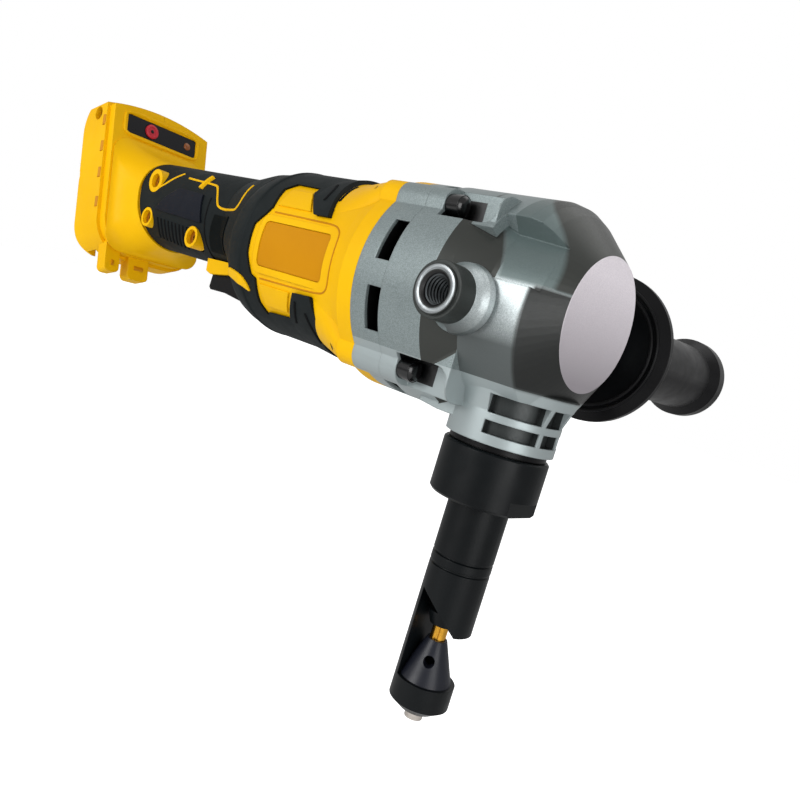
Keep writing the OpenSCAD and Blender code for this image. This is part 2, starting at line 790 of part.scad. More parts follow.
module die_holder() {
    color(black) tool_frame() difference() {
        union() {
            cyl_z(flange_r, flange_bottom, flange_top);
            cyl_z(spigot_r, nut_bottom, flange_bottom + 1);
            difference() {
                // Tube with two turned grooves
                rotate_extrude() polygon([
                    [0, nut_bottom], [tube_r, nut_bottom], [tube_r, band_bottom],
                    [tube_r - 0.6, band_bottom], [tube_r - 0.6, band_bottom - 0.7], [tube_r, band_bottom - 1.1],
                    [tube_r, band_bottom - 3.7], [tube_r - 0.5, band_bottom - 3.9],
                    [tube_r - 0.5, band_bottom - 4.5], [tube_r, band_bottom - 4.8], [tube_r, tube_tip], [0, tube_tip]
                ]);
                // Guide faces at the lower end of the tube
                for (side = [0, 1]) {
                    mirror([0, side, 0]) translate([-5.2, 0, tube_tip + 11.6]) multmatrix([
                        [1, 0, 0, 0], [0, 1, 0, 0], [-0.65, 0.69, 1, 0]
                    ]) translate([-20, -1, -60]) cube([60, 30, 60 + 0.3 - 6.2]);
                }
            }
            // Strap behind the throat and the head that carries the die
            intersection() {
                cyl_z(head_r, head_top - 2, band_bottom - 12);
                translate([-head_r - 1, -head_r, head_top - 2]) cube([head_r + 1 - strap_x, 2 * head_r, 60]);
            }
            cyl_z(head_r, head_bottom + 3, head_top);
            translate([0, 0, head_bottom]) cylinder(r1 = head_r - 4, r2 = head_r, h = 3);
        }
        // Bore of the punch
        cyl_z(shank_r + fit, tube_tip + 10, flange_top + 1);
        cyl_z(punch_r + 0.2, tube_tip - 1, tube_tip + 11);
        // Seats of the die and of its screw
        cyl_z(4 + seat, head_bottom + 3, head_top + 1);
        cyl_z(3.2 + seat, head_bottom - 1, head_bottom + 4);
    }
}

module die() {
    color([0.2, 0.21, 0.23]) tool_frame() difference() {
        union() {
            translate([0, 0, head_top + seat]) cylinder(r1 = 9, r2 = 3.5, h = die_cone_h - seat);
            cyl_z(4, head_top - 5, head_top + 1);
        }
        cyl_z(punch_r + fit, head_top - 6, die_top + 1);
        // Side hole that lets the slugs out
        rotate([0, 0, -61]) translate([0, 0, die_top - 6.5]) rotate([0, 90, 0]) cylinder(r = 1.9, h = 12);
        translate([-head_r - 5, -head_r, head_top - 1]) cube([head_r + 5.1 - strap_x, 2 * head_r, 20]);
    }
}

module die_screw() {
    color(steel) tool_frame() {
        cyl_z(3.2, screw_end, head_bottom + 4 - seat);
        cyl_z(3.7, head_bottom + 3 + seat, head_bottom + 5);
    }
}

// Side handle

module side_handle() {
    color(black) handle_frame() difference() {
        rotate_extrude() polygon([
            [0, boss_reach + 4.5], [guard_r - 4, boss_reach + 4.5], [guard_r, boss_reach + 6.5],
            [guard_r, boss_reach + 9], [guard_r - 5, boss_reach + 8.4], [handle_r + 3, boss_reach + 10],
            [handle_r, boss_reach + 14], [handle_r, boss_reach + 40], [handle_r + 0.7, boss_reach + 70],
            [handle_r + 1, boss_reach + 90], [handle_end_r, boss_reach + handle_len - 9],
            [handle_end_r, boss_reach + handle_len - 3], [handle_end_r - 6, boss_reach + handle_len + 3],
            [0, boss_reach + handle_len + 3]
        ]);
        translate([0, 0, boss_reach]) cylinder(r = thread_r, h = 40);
    }
}

module handle_stud() {
    color(steel) handle_frame() {
        translate([0, 0, boss_floor + 2]) cylinder(r = thread_r - fit, h = thread_depth + 36);
        translate([0, 0, boss_reach + 0.4]) cylinder(r = 7.4, h = 4.1 - seat);
    }
}

// Grip and battery foot

module stadium(half_w, half_h) {
    for (s = [-1, 1]) {
        translate([0, s * (half_h - half_w)]) circle(r = half_w);
    }
    translate([-half_w, half_w - half_h]) square([2 * half_w, 2 * (half_h - half_w)]);
}

// Cross section of the grip at a station, drawn as a thin slice
module grip_slice(x, half_w, half_h, lift) {
    translate([0, 0, lift]) extrude_x(x, x + 0.1) stadium(half_w, half_h);
}

function flare_front_r(x) = barrel_r - 0.4 * (ring_front - x);

// Flare from the grip to the motor housing, made smaller all round by trim
module flare(trim, front) {
    hull() {
        grip_slice(grip_front, grip_half_w - trim, grip_half_h - trim, grip_z);
        grip_slice(flare_mid, barrel_r - 7 - trim, barrel_r - 4 - trim, 3.8);
    }
    hull() {
        grip_slice(flare_mid, barrel_r - 7 - trim, barrel_r - 4 - trim, 3.8);
        grip_slice(front - 0.1, flare_front_r(front) - trim, flare_front_r(front) + 0.1 - trim, barrel_lift);
    }
}

// Rectangle between two corners, with round corners
module soft_rect(x0, y0, x1, y1, r) {
    translate([x0 + r, y0]) square([x1 - x0 - 2 * r, y1 - y0]);
    translate([x0, y0 + r]) square([x1 - x0, y1 - y0 - 2 * r]);
    for (x = [x0 + r, x1 - r], y = [y0 + r, y1 - r]) {
        translate([x, y]) circle(r = r);
    }
}

module foot_outline(trim = 0) {
    w = foot_half_w - trim;
    intersection() {
        union() {
            soft_rect(-w, -foot_bottom + trim, w, foot_top - 20, 18 - trim);
            soft_rect(-w, foot_top - 44, w, foot_top + 4 - trim, 9);
        }
        translate([0, foot_top - 106]) circle(r = 106 - trim, $fn = 240);
    }
}

module foot_side_view(trim = 0) {
    back = -foot_depth + trim;
    soft_rect(back, -foot_bottom + trim, 10, foot_top - 30, 12 - trim);
    soft_rect(back, foot_top - 50, 20, foot_top - trim, 16 - trim);
}

module foot_block() {
    intersection() {
        union() {
            extrude_x(-foot_depth, -5) foot_outline();
            extrude_x(-6, 0) foot_outline(1.6);
        }
        extrude_y(-foot_half_w - 1, foot_half_w + 1) foot_side_view();
    }
    // Lugs under the foot
    extrude_lug(-20.5, 3.8, 8);
    extrude_lug(-6, 5.6, 9.6);
}

module extrude_lug(y, half_w, drop) {
    extrude_x(-9, -1.5) soft_rect(y - half_w, -foot_bottom - drop, y + half_w, -foot_bottom + 8, 2.5);
}

module shells_solid() {
    foot_frame() {
        difference() {
            foot_block();
            // Shallow field round the root of the grip
            extrude_x(-1.6, 1) soft_rect(-22, -12, 22, 33, 6);
        }
    }
    // Root of the grip, swept into the foot
    hull() {
        foot_frame() extrude_x(-3, -2.9) translate([0, 8.4]) stadium(core_half_w + 8, core_half_h + 8);
        foot_frame() extrude_x(4, 4.1) translate([0, 7.2]) stadium(core_half_w + 3.8, core_half_h + 3.8);
    }
    hull() {
        foot_frame() extrude_x(4, 4.1) translate([0, 7.2]) stadium(core_half_w + 3.8, core_half_h + 3.8);
        foot_frame() extrude_x(sleeve_n - 0.1, sleeve_n) translate([0, 2.6]) stadium(grip_half_w, grip_half_h);
    }
    power_frame() {
        // Grip core
        translate([0, 0, grip_z]) extrude_x(foot_x, grip_front + 1) stadium(core_half_w, core_half_h);
        flare(sleeve_t, -barrel_len - seat);
        // Skirt round the trigger
        trigger_skirt();
    }
}

module skirt_outline() {
    polygon([
        [trigger_rear - 3.5, trigger_pin_z + 5], [trigger_rear - 2.5, trigger_pin_z - 0.6],
        [trigger_rear + 1, trigger_pin_z - 1.6], [trigger_rear + 16, trigger_pin_z + 0.6],
        [trigger_pin_x + 4, trigger_pin_z - 2.2], [trigger_pin_x + 5, trigger_pin_z + 6]
    ]);
}

module trigger_skirt() {
    extrude_y(-trigger_half_w - 2.4, trigger_half_w + 2.4) skirt_outline();
}

module shell_screw_posts(inner_r) {
    power_frame() intersection() {
        for (s = grip_screws) {
            translate([s[0] - barrel_len, 0, s[1]]) cyl_y(inner_r, -core_half_w, core_half_w);
        }
        translate([0, 0, grip_z]) extrude_x(foot_x, grip_front) stadium(core_half_w - 1, core_half_h - 1);
    }
    foot_frame() translate([foot_screw[0], 0, foot_screw[1]]) cyl_y(inner_r, -foot_half_w + 2, foot_half_w - 2);
}

module shells_hollow() {
    foot_frame() {
        // Electronics space in front of the battery channel
        intersection() {
            extrude_x(-foot_depth + channel_depth + shell_wall, -3.8) foot_outline(shell_wall + 0.6);
            extrude_y(-foot_half_w, foot_half_w) foot_side_view(shell_wall);
        }
        // Battery channel, open at the back and at the bottom, with two rails
        extrude_x(-foot_depth - 1, -foot_depth + channel_depth) translate([-channel_half_w + 4, -foot_bottom - 20])
            square([2 * channel_half_w - 8, foot_top + foot_bottom + 4]);
        extrude_x(-foot_depth + 4.5, -foot_depth + channel_depth) translate([-channel_half_w, -foot_bottom - 20])
            square([2 * channel_half_w, foot_top + foot_bottom + 4]);
        // Pocket of the control panel and the well of its button
        extrude_x(-2.2, 2) translate([-20.2, 39.8]) square([40.4, 9.6]);
        extrude_x(-6, 0) translate([-6.5, 44.6]) circle(r = 3.9);
        extrude_x(-6, 0) translate([15, 44.6]) circle(r = 1.3);
    }
    power_frame() {
        translate([0, 0, grip_z]) extrude_x(foot_x - 4, grip_front + 1)
            stadium(core_half_w - shell_wall, core_half_h - shell_wall);
        flare(sleeve_t + shell_wall, -barrel_len + 1);
        // Way of the trigger
        extrude_y(-trigger_half_w - 0.4, trigger_half_w + 0.4) translate([trigger_rear - 1, trigger_pin_z - 10])
            square([trigger_pin_x - trigger_rear + 8, 15 + trigger_rise]);
    }
}

module shell(side) {
    difference() {
        union() {
            difference() {
                shells_solid();
                shells_hollow();
            }
            shell_screw_posts(4.4);
            // Screw bosses that show through the soft sleeve, on the right side
            if (side < 0) {
                power_frame() for (s = grip_screws) {
                    translate([s[0] - barrel_len, 0, s[1]]) cyl_y(s[2], -grip_half_w + 0.6, -core_half_w + 5);
                }
            }
            // Bearings of the trigger pin
            power_frame() for (y = [-trigger_half_w - 2.4, trigger_half_w + 0.4]) {
                translate([trigger_pin_x, 0, trigger_pin_z]) cyl_y(3.4, y, y + 2);
            }
        }
        // Screws, from the right side
        power_frame() for (s = grip_screws) {
            translate([s[0] - barrel_len, 0, s[1]]) screw_hole(grip_half_w);
        }
        foot_frame() translate([foot_screw[0], 0, foot_screw[1]]) screw_hole(foot_half_w);
        power_frame() translate([trigger_pin_x, 0, trigger_pin_z])
            cyl_y(trigger_pin_r + seat, -trigger_half_w - 2, trigger_half_w + 2);
        // The other half
        translate([-400, side < 0 ? -shell_split : shell_split - 100, -100]) cube([500, 100, 300]);
    }
}

module screw_hole(reach) {
    cyl_y(screw_head_r + 0.2, -reach - 5, -reach + 5);
    cyl_y(screw_shank_r + seat, -reach, 13);
}

module right_shell() {
    color(yellow) shell(-1);
}

module left_shell() {
    color(yellow) shell(1);
}

module shell_screws() {
    color([0.6, 0.5, 0.3]) {
        power_frame() for (s = grip_screws) {
            translate([s[0] - barrel_len, 0, s[1]]) shell_screw(grip_half_w);
        }
        foot_frame() translate([foot_screw[0], 0, foot_screw[1]]) shell_screw(foot_half_w);
    }
}

module shell_screw(reach) {
    cyl_y(screw_shank_r, -reach + 4, 12);
    difference() {
        cyl_y(screw_head_r, -reach + 2.6, -reach + 5 - seat);
        translate([0, -reach + 3.6, 0]) rotate([90, 0, 0]) linear_extrude(2) circle(r = 1.3, $fn = 6);
    }
}

module grip_sleeve(side) {
    color(black) difference() {
        power_frame() translate([0, 0, grip_z]) extrude_x(foot_x, grip_front - fit) stadium(grip_half_w, grip_half_h);
        power_frame() translate([0, 0, grip_z]) extrude_x(foot_x - 1, grip_front + 1)
            stadium(core_half_w + seat, core_half_h + seat);
        foot_frame() translate([-60, -50, -60]) cube([60 + sleeve_n + fit, 100, 140]);
        power_frame() {
            extrude_y(-trigger_half_w - 2.6, trigger_half_w + 2.6) offset(delta = 0.2) skirt_outline();
            // Way of the trigger spring
            translate([spring_x, 0, 0]) cyl_z(spring_r + 1.2, trigger_pin_z - 2, trigger_pin_z + 8);
            if (side < 0) {
                for (s = grip_screws) {
                    translate([s[0] - barrel_len, 0, s[1]]) cyl_y(s[2] + 0.15, -grip_half_w - 2, 0);
                }
            }
        }
        translate([-400, side < 0 ? -shell_split : shell_split - 100, -100]) cube([500, 100, 300]);
    }
}

module grip_sleeve_right() {
    grip_sleeve(-1);
}

module grip_sleeve_left() {
    grip_sleeve(1);
}

module neck_ring() {
    color(black) power_frame() difference() {
        flare(0, ring_front - fit);
        // Room for the shells behind and the barrel in front
        flare(sleeve_t - 0.15, -barrel_len + 0.5);
        cyl_x(housing_step + seat, -barrel_len - 0.5, ring_front + 1, barrel_lift);
        extrude_y(-trigger_half_w - 2.6, trigger_half_w + 2.6) offset(delta = 0.2) skirt_outline();
        extrude_y(-trigger_half_w - 2.6, trigger_half_w + 2.6) translate([trigger_rear - 1, trigger_pin_z - 16])
            square([trigger_pin_x - trigger_rear + 8, 22]);
    }
}

module control_panel() {
    color([0.1, 0.1, 0.11]) foot_frame() difference() {
        extrude_x(-2.2 + seat, -0.2) translate([-20, 40]) square([40, 9.2]);
        extrude_x(-3, 2) translate([-6.5, 44.6]) circle(r = 3.7);
        extrude_x(-3, 2) translate([15, 44.6]) circle(r = 1.3 + seat);
    }
}

module panel_button() {
    color([0.78, 0.2, 0.22]) foot_frame() {
        extrude_x(-4, 0.5) translate([-6.5, 44.6]) circle(r = 3.6);
    }
}

module status_light() {
    color([0.95, 0.6, 0.1]) foot_frame() extrude_x(-3.5, 0) translate([15, 44.6]) circle(r = 1.3 - seat);
}

module controller_board() {
    color([0.05, 0.3, 0.12]) foot_frame() {
        extrude_x(-10, -8.4) translate([-18, -2]) square([36, 40]);
        extrude_x(-8.5, -5.4) translate([-12, 14]) square([10, 12]);
        extrude_x(-8.5, -4.6) translate([3, 2]) square([9, 9]);
        // Pillars to the wall of the channel
        for (y = [-15, 15], u = [2, 34]) {
            extrude_x(-foot_depth + channel_depth + shell_wall + seat, -9.9) translate([y, u]) circle(r = 2);
        }
    }
}

module terminal_block() {
    color(black) foot_frame() difference() {
        extrude_x(-foot_depth + 3, -foot_depth + channel_depth - seat) translate([-15, 4]) square([30, 26]);
        for (y = [-10:5:10]) {
            extrude_x(-foot_depth + 2, -foot_depth + 10) translate([y - 1.2, 2]) square([2.4, 24]);
        }
    }
}

module battery_terminals() {
    color(gold) foot_frame() for (y = [-10:5:10]) {
        extrude_x(-foot_depth + 4, -foot_depth + 10 - seat) translate([y - 0.4, 6]) square([0.8, 20 - seat]);
    }
}

module trigger() {
    color(black) power_frame() difference() {
        extrude_y(-trigger_half_w, trigger_half_w) union() {
            polygon([
                [trigger_rear, trigger_pin_z + 0.4], [trigger_rear - 0.5, trigger_pin_z - 7.2],
                [trigger_rear + 1, trigger_pin_z - 8.2], [trigger_rear + 12, trigger_pin_z - 7.8],
                [trigger_pin_x + 4, trigger_pin_z - 9.4], [trigger_pin_x + 5, trigger_pin_z - 6],
                [trigger_pin_x + 3, trigger_pin_z + 1], [trigger_pin_x - 3, trigger_pin_z + 2]
            ]);
            translate([trigger_pin_x, trigger_pin_z]) circle(r = 3.2);
        }
        translate([trigger_pin_x, 0, trigger_pin_z]) cyl_y(trigger_pin_r + fit, -20, 20);
        // Hollow back and the seat of the spring
        translate([trigger_rear + 2, -trigger_half_w + 1.8, trigger_pin_z - 5])
            cube([18, 2 * trigger_half_w - 3.6, 20]);
    }
}

module trigger_pin() {
    color(steel) power_frame() translate([trigger_pin_x, 0, trigger_pin_z])
        cyl_y(trigger_pin_r, -trigger_half_w - 1.8, trigger_half_w + 1.8);
}

spring_x = trigger_pin_x - 18;
spring_bottom = trigger_pin_z - 5 + gap;
spring_top = grip_z - 9.4;
spring_r = 3;
switch_half_w = core_half_w - shell_wall - 0.8;

module trigger_spring() {
    turns = 6;
    wire = 0.45;
    steps = turns * 14;
    pitch = (spring_top - spring_bottom - 2 * wire - 0.1) / steps;
    color(steel) power_frame() translate([spring_x, 0, spring_bottom + wire]) polyhedron(
        points = [for (i = [0:steps]) for (k = [0:5]) let (a = i * 360 / 14, b = k * 60)
            [(spring_r + wire * cos(b)) * cos(a), (spring_r + wire * cos(b)) * sin(a), i * pitch + wire * sin(b)]],
        faces = concat(
            [[for (k = [0:5]) k]],
            [for (i = [0:steps - 1]) for (k = [0:5])
                [i * 6 + k, (i + 1) * 6 + k, (i + 1) * 6 + (k + 1) % 6, i * 6 + (k + 1) % 6]],
            [[for (k = [5:-1:0]) steps * 6 + k]]
        )
    );
}

module trigger_switch() {
    color([0.15, 0.15, 0.16]) power_frame() {
        translate([trigger_rear - 3, -8, spring_top + seat]) cube([26, 16, 15]);
        // Ears that hold it in the shells
        for (x = [trigger_rear - 2, trigger_rear + 18]) {
            translate([x, -switch_half_w, spring_top + 5]) cube([3, 2 * switch_half_w, 5]);
        }
    }
}

module motor_leads() {
    color([0.7, 0.1, 0.1]) power_frame() for (y = [-9, 9]) {
        translate([0, y, 0]) cyl_x(1.1, trigger_rear + 23 + seat, stator_rear - 4.5, 13.5);
    }
}

right_shell();
left_shell();
grip_sleeve_right();
grip_sleeve_left();
neck_ring();
shell_screws();
control_panel();
panel_button();
status_light();
controller_board();
terminal_block();
battery_terminals();
trigger();
trigger_pin();
trigger_spring();
trigger_switch();
motor_leads();
motor_housing();
housing_pads();
label_plate();
stator_core();
stator_coils();
rotor_core();
rotor_shaft();
cooling_fan();
motor_pinion();
rear_motor_bearing();
front_motor_bearing();
bearing_plate();
vent_ring();
gearbox_housing();
gearbox_screws();
crankshaft();
drive_gear();
crank_rear_bearing();
crank_front_bearing();
connecting_rod();
ram();
ram_sleeve();
punch();
lock_nut();
die_holder();
die();
die_screw();
side_handle();
handle_stud();
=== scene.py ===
"""Looks of a cordless nibbler, built round its packed construction model.

The construction nodes keep their shapes and get procedural finishes. Trims, ridges, rings, threads and
panel details are modelled here and ride on the bodies that carry them.
"""

import json
import logging
import math
from dataclasses import dataclass
from enum import Enum
from typing import Optional, Sequence

import bpy
from mathutils import Matrix, Vector


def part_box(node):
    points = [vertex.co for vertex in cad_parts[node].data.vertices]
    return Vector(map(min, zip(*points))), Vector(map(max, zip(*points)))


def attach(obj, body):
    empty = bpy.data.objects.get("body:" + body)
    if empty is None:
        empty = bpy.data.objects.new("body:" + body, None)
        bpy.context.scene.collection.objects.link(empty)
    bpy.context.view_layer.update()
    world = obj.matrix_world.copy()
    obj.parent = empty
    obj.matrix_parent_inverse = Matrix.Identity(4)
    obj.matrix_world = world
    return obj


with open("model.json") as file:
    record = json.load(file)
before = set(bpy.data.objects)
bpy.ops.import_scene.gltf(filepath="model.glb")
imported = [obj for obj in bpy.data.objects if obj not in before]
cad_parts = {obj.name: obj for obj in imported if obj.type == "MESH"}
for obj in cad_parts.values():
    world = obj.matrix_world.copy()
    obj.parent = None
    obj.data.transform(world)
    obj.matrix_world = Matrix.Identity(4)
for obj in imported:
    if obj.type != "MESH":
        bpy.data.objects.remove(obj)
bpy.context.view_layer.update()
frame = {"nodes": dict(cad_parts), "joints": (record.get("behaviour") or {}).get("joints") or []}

MM = 0.001
OUTSIDE = -60.0  # Y in millimetres where lines and panels are drawn, to the right of the whole body
MERGE = 0.01 * MM  # Points nearer than this are one
SKIN_STEP = 0.7 * MM  # Fineness of a merged skin
LOG = logging.getLogger("nibbler")

Colour = tuple[float, float, float]
Screen = tuple[int, int, int]
Point = tuple[float, float]
Profile = Sequence[Point]
X_AXIS, Y_AXIS, Z_AXIS = Vector((1, 0, 0)), Vector((0, 1, 0)), Vector((0, 0, 1))


class Side(Enum):
    """The two long sides of the tool, as the sign of their Y direction."""

    RIGHT = -1
    LEFT = 1


def srgb(red: int, green: int, blue: int) -> Colour:
    """Turns a screen colour into the linear values that a shader takes.

    Args:
        red: Red, 0 to 255.
        green: Green, 0 to 255.
        blue: Blue, 0 to 255.

    Returns:
        The linear colour.
    """
    values = [channel / 255 for channel in (red, green, blue)]
    linear = [v / 12.92 if v <= 0.04045 else ((v + 0.055) / 1.055) ** 2.4 for v in values]
    return (linear[0], linear[1], linear[2])


# Work in the viewport


def leave_edit() -> None:
    """Goes back to object mode."""
    active = bpy.context.view_layer.objects.active
    if active is not None and active.mode != "OBJECT":
        bpy.ops.object.mode_set(mode="OBJECT")


def pick(*objects: bpy.types.Object) -> None:
    """Selects only the given objects and makes the first one active."""
    leave_edit()
    bpy.ops.object.select_all(action="DESELECT")
    for item in objects:
        item.select_set(True)
    if objects:
        bpy.context.view_layer.objects.active = objects[0]


def edit(piece: bpy.types.Object) -> None:
    """Opens a piece in edit mode with all of it selected."""
    pick(piece)
    bpy.ops.object.mode_set(mode="EDIT")
    bpy.ops.mesh.select_all(action="SELECT")


def apply_place(piece: bpy.types.Object) -> None:
    """Puts the place, turn and scale of a piece into its mesh."""
    pick(piece)
    bpy.ops.object.transform_apply(location=True, rotation=True, scale=True)


def apply_modifiers(piece: bpy.types.Object) -> None:
    """Applies every modifier of a piece, in order."""
    pick(piece)
    for modifier in list(piece.modifiers):
        bpy.ops.object.modifier_apply(modifier=modifier.name)


def tidy_mesh(piece: bpy.types.Object) -> None:
    """Merges doubled points and turns all faces outwards."""
    edit(piece)
    bpy.ops.mesh.remove_doubles(threshold=MERGE)
    bpy.ops.mesh.select_all(action="SELECT")
    bpy.ops.mesh.normals_make_consistent(inside=False)
    leave_edit()


def flip(piece: bpy.types.Object) -> None:
    """Turns a piece over to the other side of the middle plane, with its faces outwards."""
    edit(piece)
    bpy.ops.transform.resize(value=(1, -1, 1), center_override=(0, 0, 0))
    leave_edit()
    tidy_mesh(piece)


def draw_line(name: str, points: Sequence[Vector], closed: bool = False) -> bpy.types.Object:
    """Draws a line as by hand: one point, extruded from place to place.

    Args:
        name: Name of the new object.
        points: The places that the line goes through.
        closed: True when the last point joins the first.

    Returns:
        The line, with its place in its mesh.
    """
    pick()
    bpy.ops.mesh.primitive_plane_add(size=MM, location=points[0])
    line = bpy.context.object
    line.name = name
    bpy.ops.object.mode_set(mode="EDIT")
    bpy.ops.mesh.select_all(action="SELECT")
    bpy.ops.mesh.merge(type="CENTER")
    for start, end in zip(points, points[1:]):
        bpy.ops.mesh.extrude_region_move(TRANSFORM_OT_translate={"value": end - start})
    if closed:
        bpy.ops.mesh.extrude_region_move(TRANSFORM_OT_translate={"value": points[0] - points[-1]})
        bpy.ops.mesh.select_all(action="SELECT")
        bpy.ops.mesh.remove_doubles(threshold=MERGE)
    leave_edit()
    apply_place(line)
    return line


def revolve(name: str, profile: Profile, centre: Vector, axis: Vector, steps: int = 72) -> bpy.types.Object:
    """Turns a closed profile round an axis.

    Args:
        name: Name of the new object.
        profile: Radius and place along the axis of each corner, in millimetres.
        centre: The point on the axis that the profile counts from.
        axis: Direction of the axis.
        steps: Number of steps of the turn.

    Returns:
        The closed ring or disc.
    """
    axis = axis.normalized()
    side = axis.orthogonal().normalized()
    points = [centre + axis * (along * MM) + side * (radius * MM) for radius, along in profile]
    piece = draw_line(name, points, closed=True)
    edit(piece)
    bpy.ops.mesh.spin(steps=steps, angle=2 * math.pi, center=centre, axis=axis)
    leave_edit()
    tidy_mesh(piece)
    return piece


def mirrored(piece: bpy.types.Object, name: str) -> bpy.types.Object:
    """Copies a piece to the other side of the middle plane.

    Args:
        piece: The piece on the right side.
        name: Name of the copy.

    Returns:
        The copy, with its own mesh and with its faces outwards.
    """
    pick(piece)
    bpy.ops.object.duplicate(linked=False)
    copy = bpy.context.object
    copy.name = name
    copy.data.name = name
    flip(copy)
    return copy


def add_piece(
    piece: bpy.types.Object, name: str, body: str, material: bpy.types.Material, angle: float = 35
) -> bpy.types.Object:
    """Dresses a finished piece and lets it ride on a body.

    Args:
        piece: The piece, with its place in its mesh.
        name: Its name in the table of pieces.
        body: The body that carries it.
        material: Its finish.
        angle: Edges sharper than this many degrees stay sharp.

    Returns:
        The piece.
    """
    piece.name = name
    piece.data.name = name
    piece.data.materials.clear()
    piece.data.materials.append(material)
    pick(piece)
    bpy.ops.object.shade_smooth_by_angle(angle=math.radians(angle))
    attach(piece, body)
    LOG.info("piece %s rides on %s", name, body)
    return piece


# Shader groups


def new_group(name: str, inputs: dict[str, float], outputs: Sequence[str]) -> bpy.types.NodeTree:
    """Makes an empty shader group that reads coordinates and numbers.

    Args:
        name: Name of the group.
        inputs: Name and first value of each number that it takes.
        outputs: Names of the values that it gives.

    Returns:
        The group, with its input and output nodes.
    """
    tree = bpy.data.node_groups.new(name, "ShaderNodeTree")
    tree.interface.new_socket("Coordinates", in_out="INPUT", socket_type="NodeSocketVector")
    for label, value in inputs.items():
        socket = tree.interface.new_socket(label, in_out="INPUT", socket_type="NodeSocketFloat")
        socket.default_value = value
    for label in outputs:
        tree.interface.new_socket(label, in_out="OUTPUT", socket_type="NodeSocketFloat")
    tree.nodes.new("NodeGroupInput")
    tree.nodes.new("NodeGroupOutput")
    return tree


@dataclass(frozen=True)
class Signal:
    """A value in a node tree that is calculated with like a number. Masks run from 0 to 1."""

    sketch: "NodeSketch"
    socket: object

    def __add__(self, other: object) -> "Signal":
        """Adds another value."""
        return self.sketch.math("ADD", self, other)

    def __sub__(self, other: object) -> "Signal":
        """Takes another value off."""
        return self.sketch.math("SUBTRACT", self, other)

    def __rsub__(self, other: object) -> "Signal":
        """Takes this value off a number. A mask that is taken off 1 is turned round."""
        return self.sketch.math("SUBTRACT", other, self)

    def __mul__(self, other: object) -> "Signal":
        """Multiplies by another value."""
        return self.sketch.math("MULTIPLY", self, other)

    def __and__(self, other: object) -> "Signal":
        """Gives the part that lies in both masks."""
        return self * other

    def __or__(self, other: object) -> "Signal":
        """Gives the larger of two values, so all that lies in either mask."""
        return self.sketch.math("MAXIMUM", self, other)

    def __gt__(self, other: object) -> "Signal":
        """Gives a mask of where this value is larger."""
        return self.sketch.math("GREATER_THAN", self, other)

    def __lt__(self, other: object) -> "Signal":
        """Gives a mask of where this value is smaller."""
        return self.sketch.math("LESS_THAN", self, other)

    def __abs__(self) -> "Signal":
        """Gives the value without its sign."""
        return self.sketch.math("ABSOLUTE", self)

    def length(self, other: "Signal") -> "Signal":
        """Gives the length of the flat vector that this value makes with another."""
        return self.sketch.math("SQRT", self * self + other * other)


@dataclass
class NodeSketch:
    """Short hands for wiring nodes in one tree."""

    tree: bpy.types.NodeTree

    def add(self, kind: str, **settings: object) -> bpy.types.Node:
        """Adds a node and sets its properties."""
        node = self.tree.nodes.new(kind)
        for key, value in settings.items():
            setattr(node, key, value)
        return node

    def feed(self, socket: object, value: object) -> None:
        """Sets a number on an input socket, or joins a signal or an output socket to it."""
        if isinstance(value, (int, float)):
            socket.default_value = value
        else:
            self.tree.links.new(value.socket if isinstance(value, Signal) else value, socket)

    def math(self, operation: str, first: object, second: object = 0.0) -> Signal:
        """Adds a math node and gives its value."""
        node = self.add("ShaderNodeMath", operation=operation)
        self.feed(node.inputs[0], first)
        self.feed(node.inputs[1], second)
        return Signal(self, node.outputs[0])

    def noise(self, vector: object, scale: object, detail: float = 2.0) -> object:
        """Adds a noise texture and gives its value."""
        node = self.add("ShaderNodeTexNoise")
        node.inputs["Detail"].default_value = detail
        self.feed(node.inputs["Vector"], vector)
        self.feed(node.inputs["Scale"], scale)
        return node.outputs["Fac"]


def build_grain_group() -> bpy.types.NodeTree:
    """Builds the fine moulded grain with a slow change of tone.

    Returns:
        A group with the outputs Height, Tone and Smudge.
    """
    scales = {"Grain Scale": 2200.0, "Tone Scale": 30.0}
    tree = new_group("moulded_grain", scales, ("Height", "Tone", "Smudge"))
    sketch = NodeSketch(tree)
    source, sink = tree.nodes["Group Input"], tree.nodes["Group Output"]
    place = source.outputs["Coordinates"]
    fine = sketch.noise(place, source.outputs["Grain Scale"], 3.0)
    tone = sketch.noise(place, source.outputs["Tone Scale"], 3.0)
    smudge = sketch.noise(place, sketch.math("MULTIPLY", source.outputs["Tone Scale"], 6.0), 4.0)
    sketch.feed(sink.inputs["Height"], fine)
    sketch.feed(sink.inputs["Tone"], tone)
    sketch.feed(sink.inputs["Smudge"], smudge)
    return tree


def build_sparkle_group() -> bpy.types.NodeTree:
    """Builds the flakes of a metallic paint over a pebbled casting.

    Returns:
        A group with the outputs Flake and Height.
    """
    tree = new_group("metal_flakes", {"Flake Scale": 5200.0, "Pebble Scale": 2200.0}, ("Flake", "Height"))
    sketch = NodeSketch(tree)
    source, sink = tree.nodes["Group Input"], tree.nodes["Group Output"]
    cells = sketch.add("ShaderNodeTexVoronoi")
    sketch.feed(cells.inputs["Vector"], source.outputs["Coordinates"])
    sketch.feed(cells.inputs["Scale"], source.outputs["Flake Scale"])
    flake = sketch.add("ShaderNodeSeparateColor")
    sketch.feed(flake.inputs[0], cells.outputs["Color"])
    pebbles = sketch.noise(source.outputs["Coordinates"], source.outputs["Pebble Scale"])
    sketch.feed(sink.inputs["Flake"], flake.outputs[0])
    sketch.feed(sink.inputs["Height"], pebbles)
    return tree


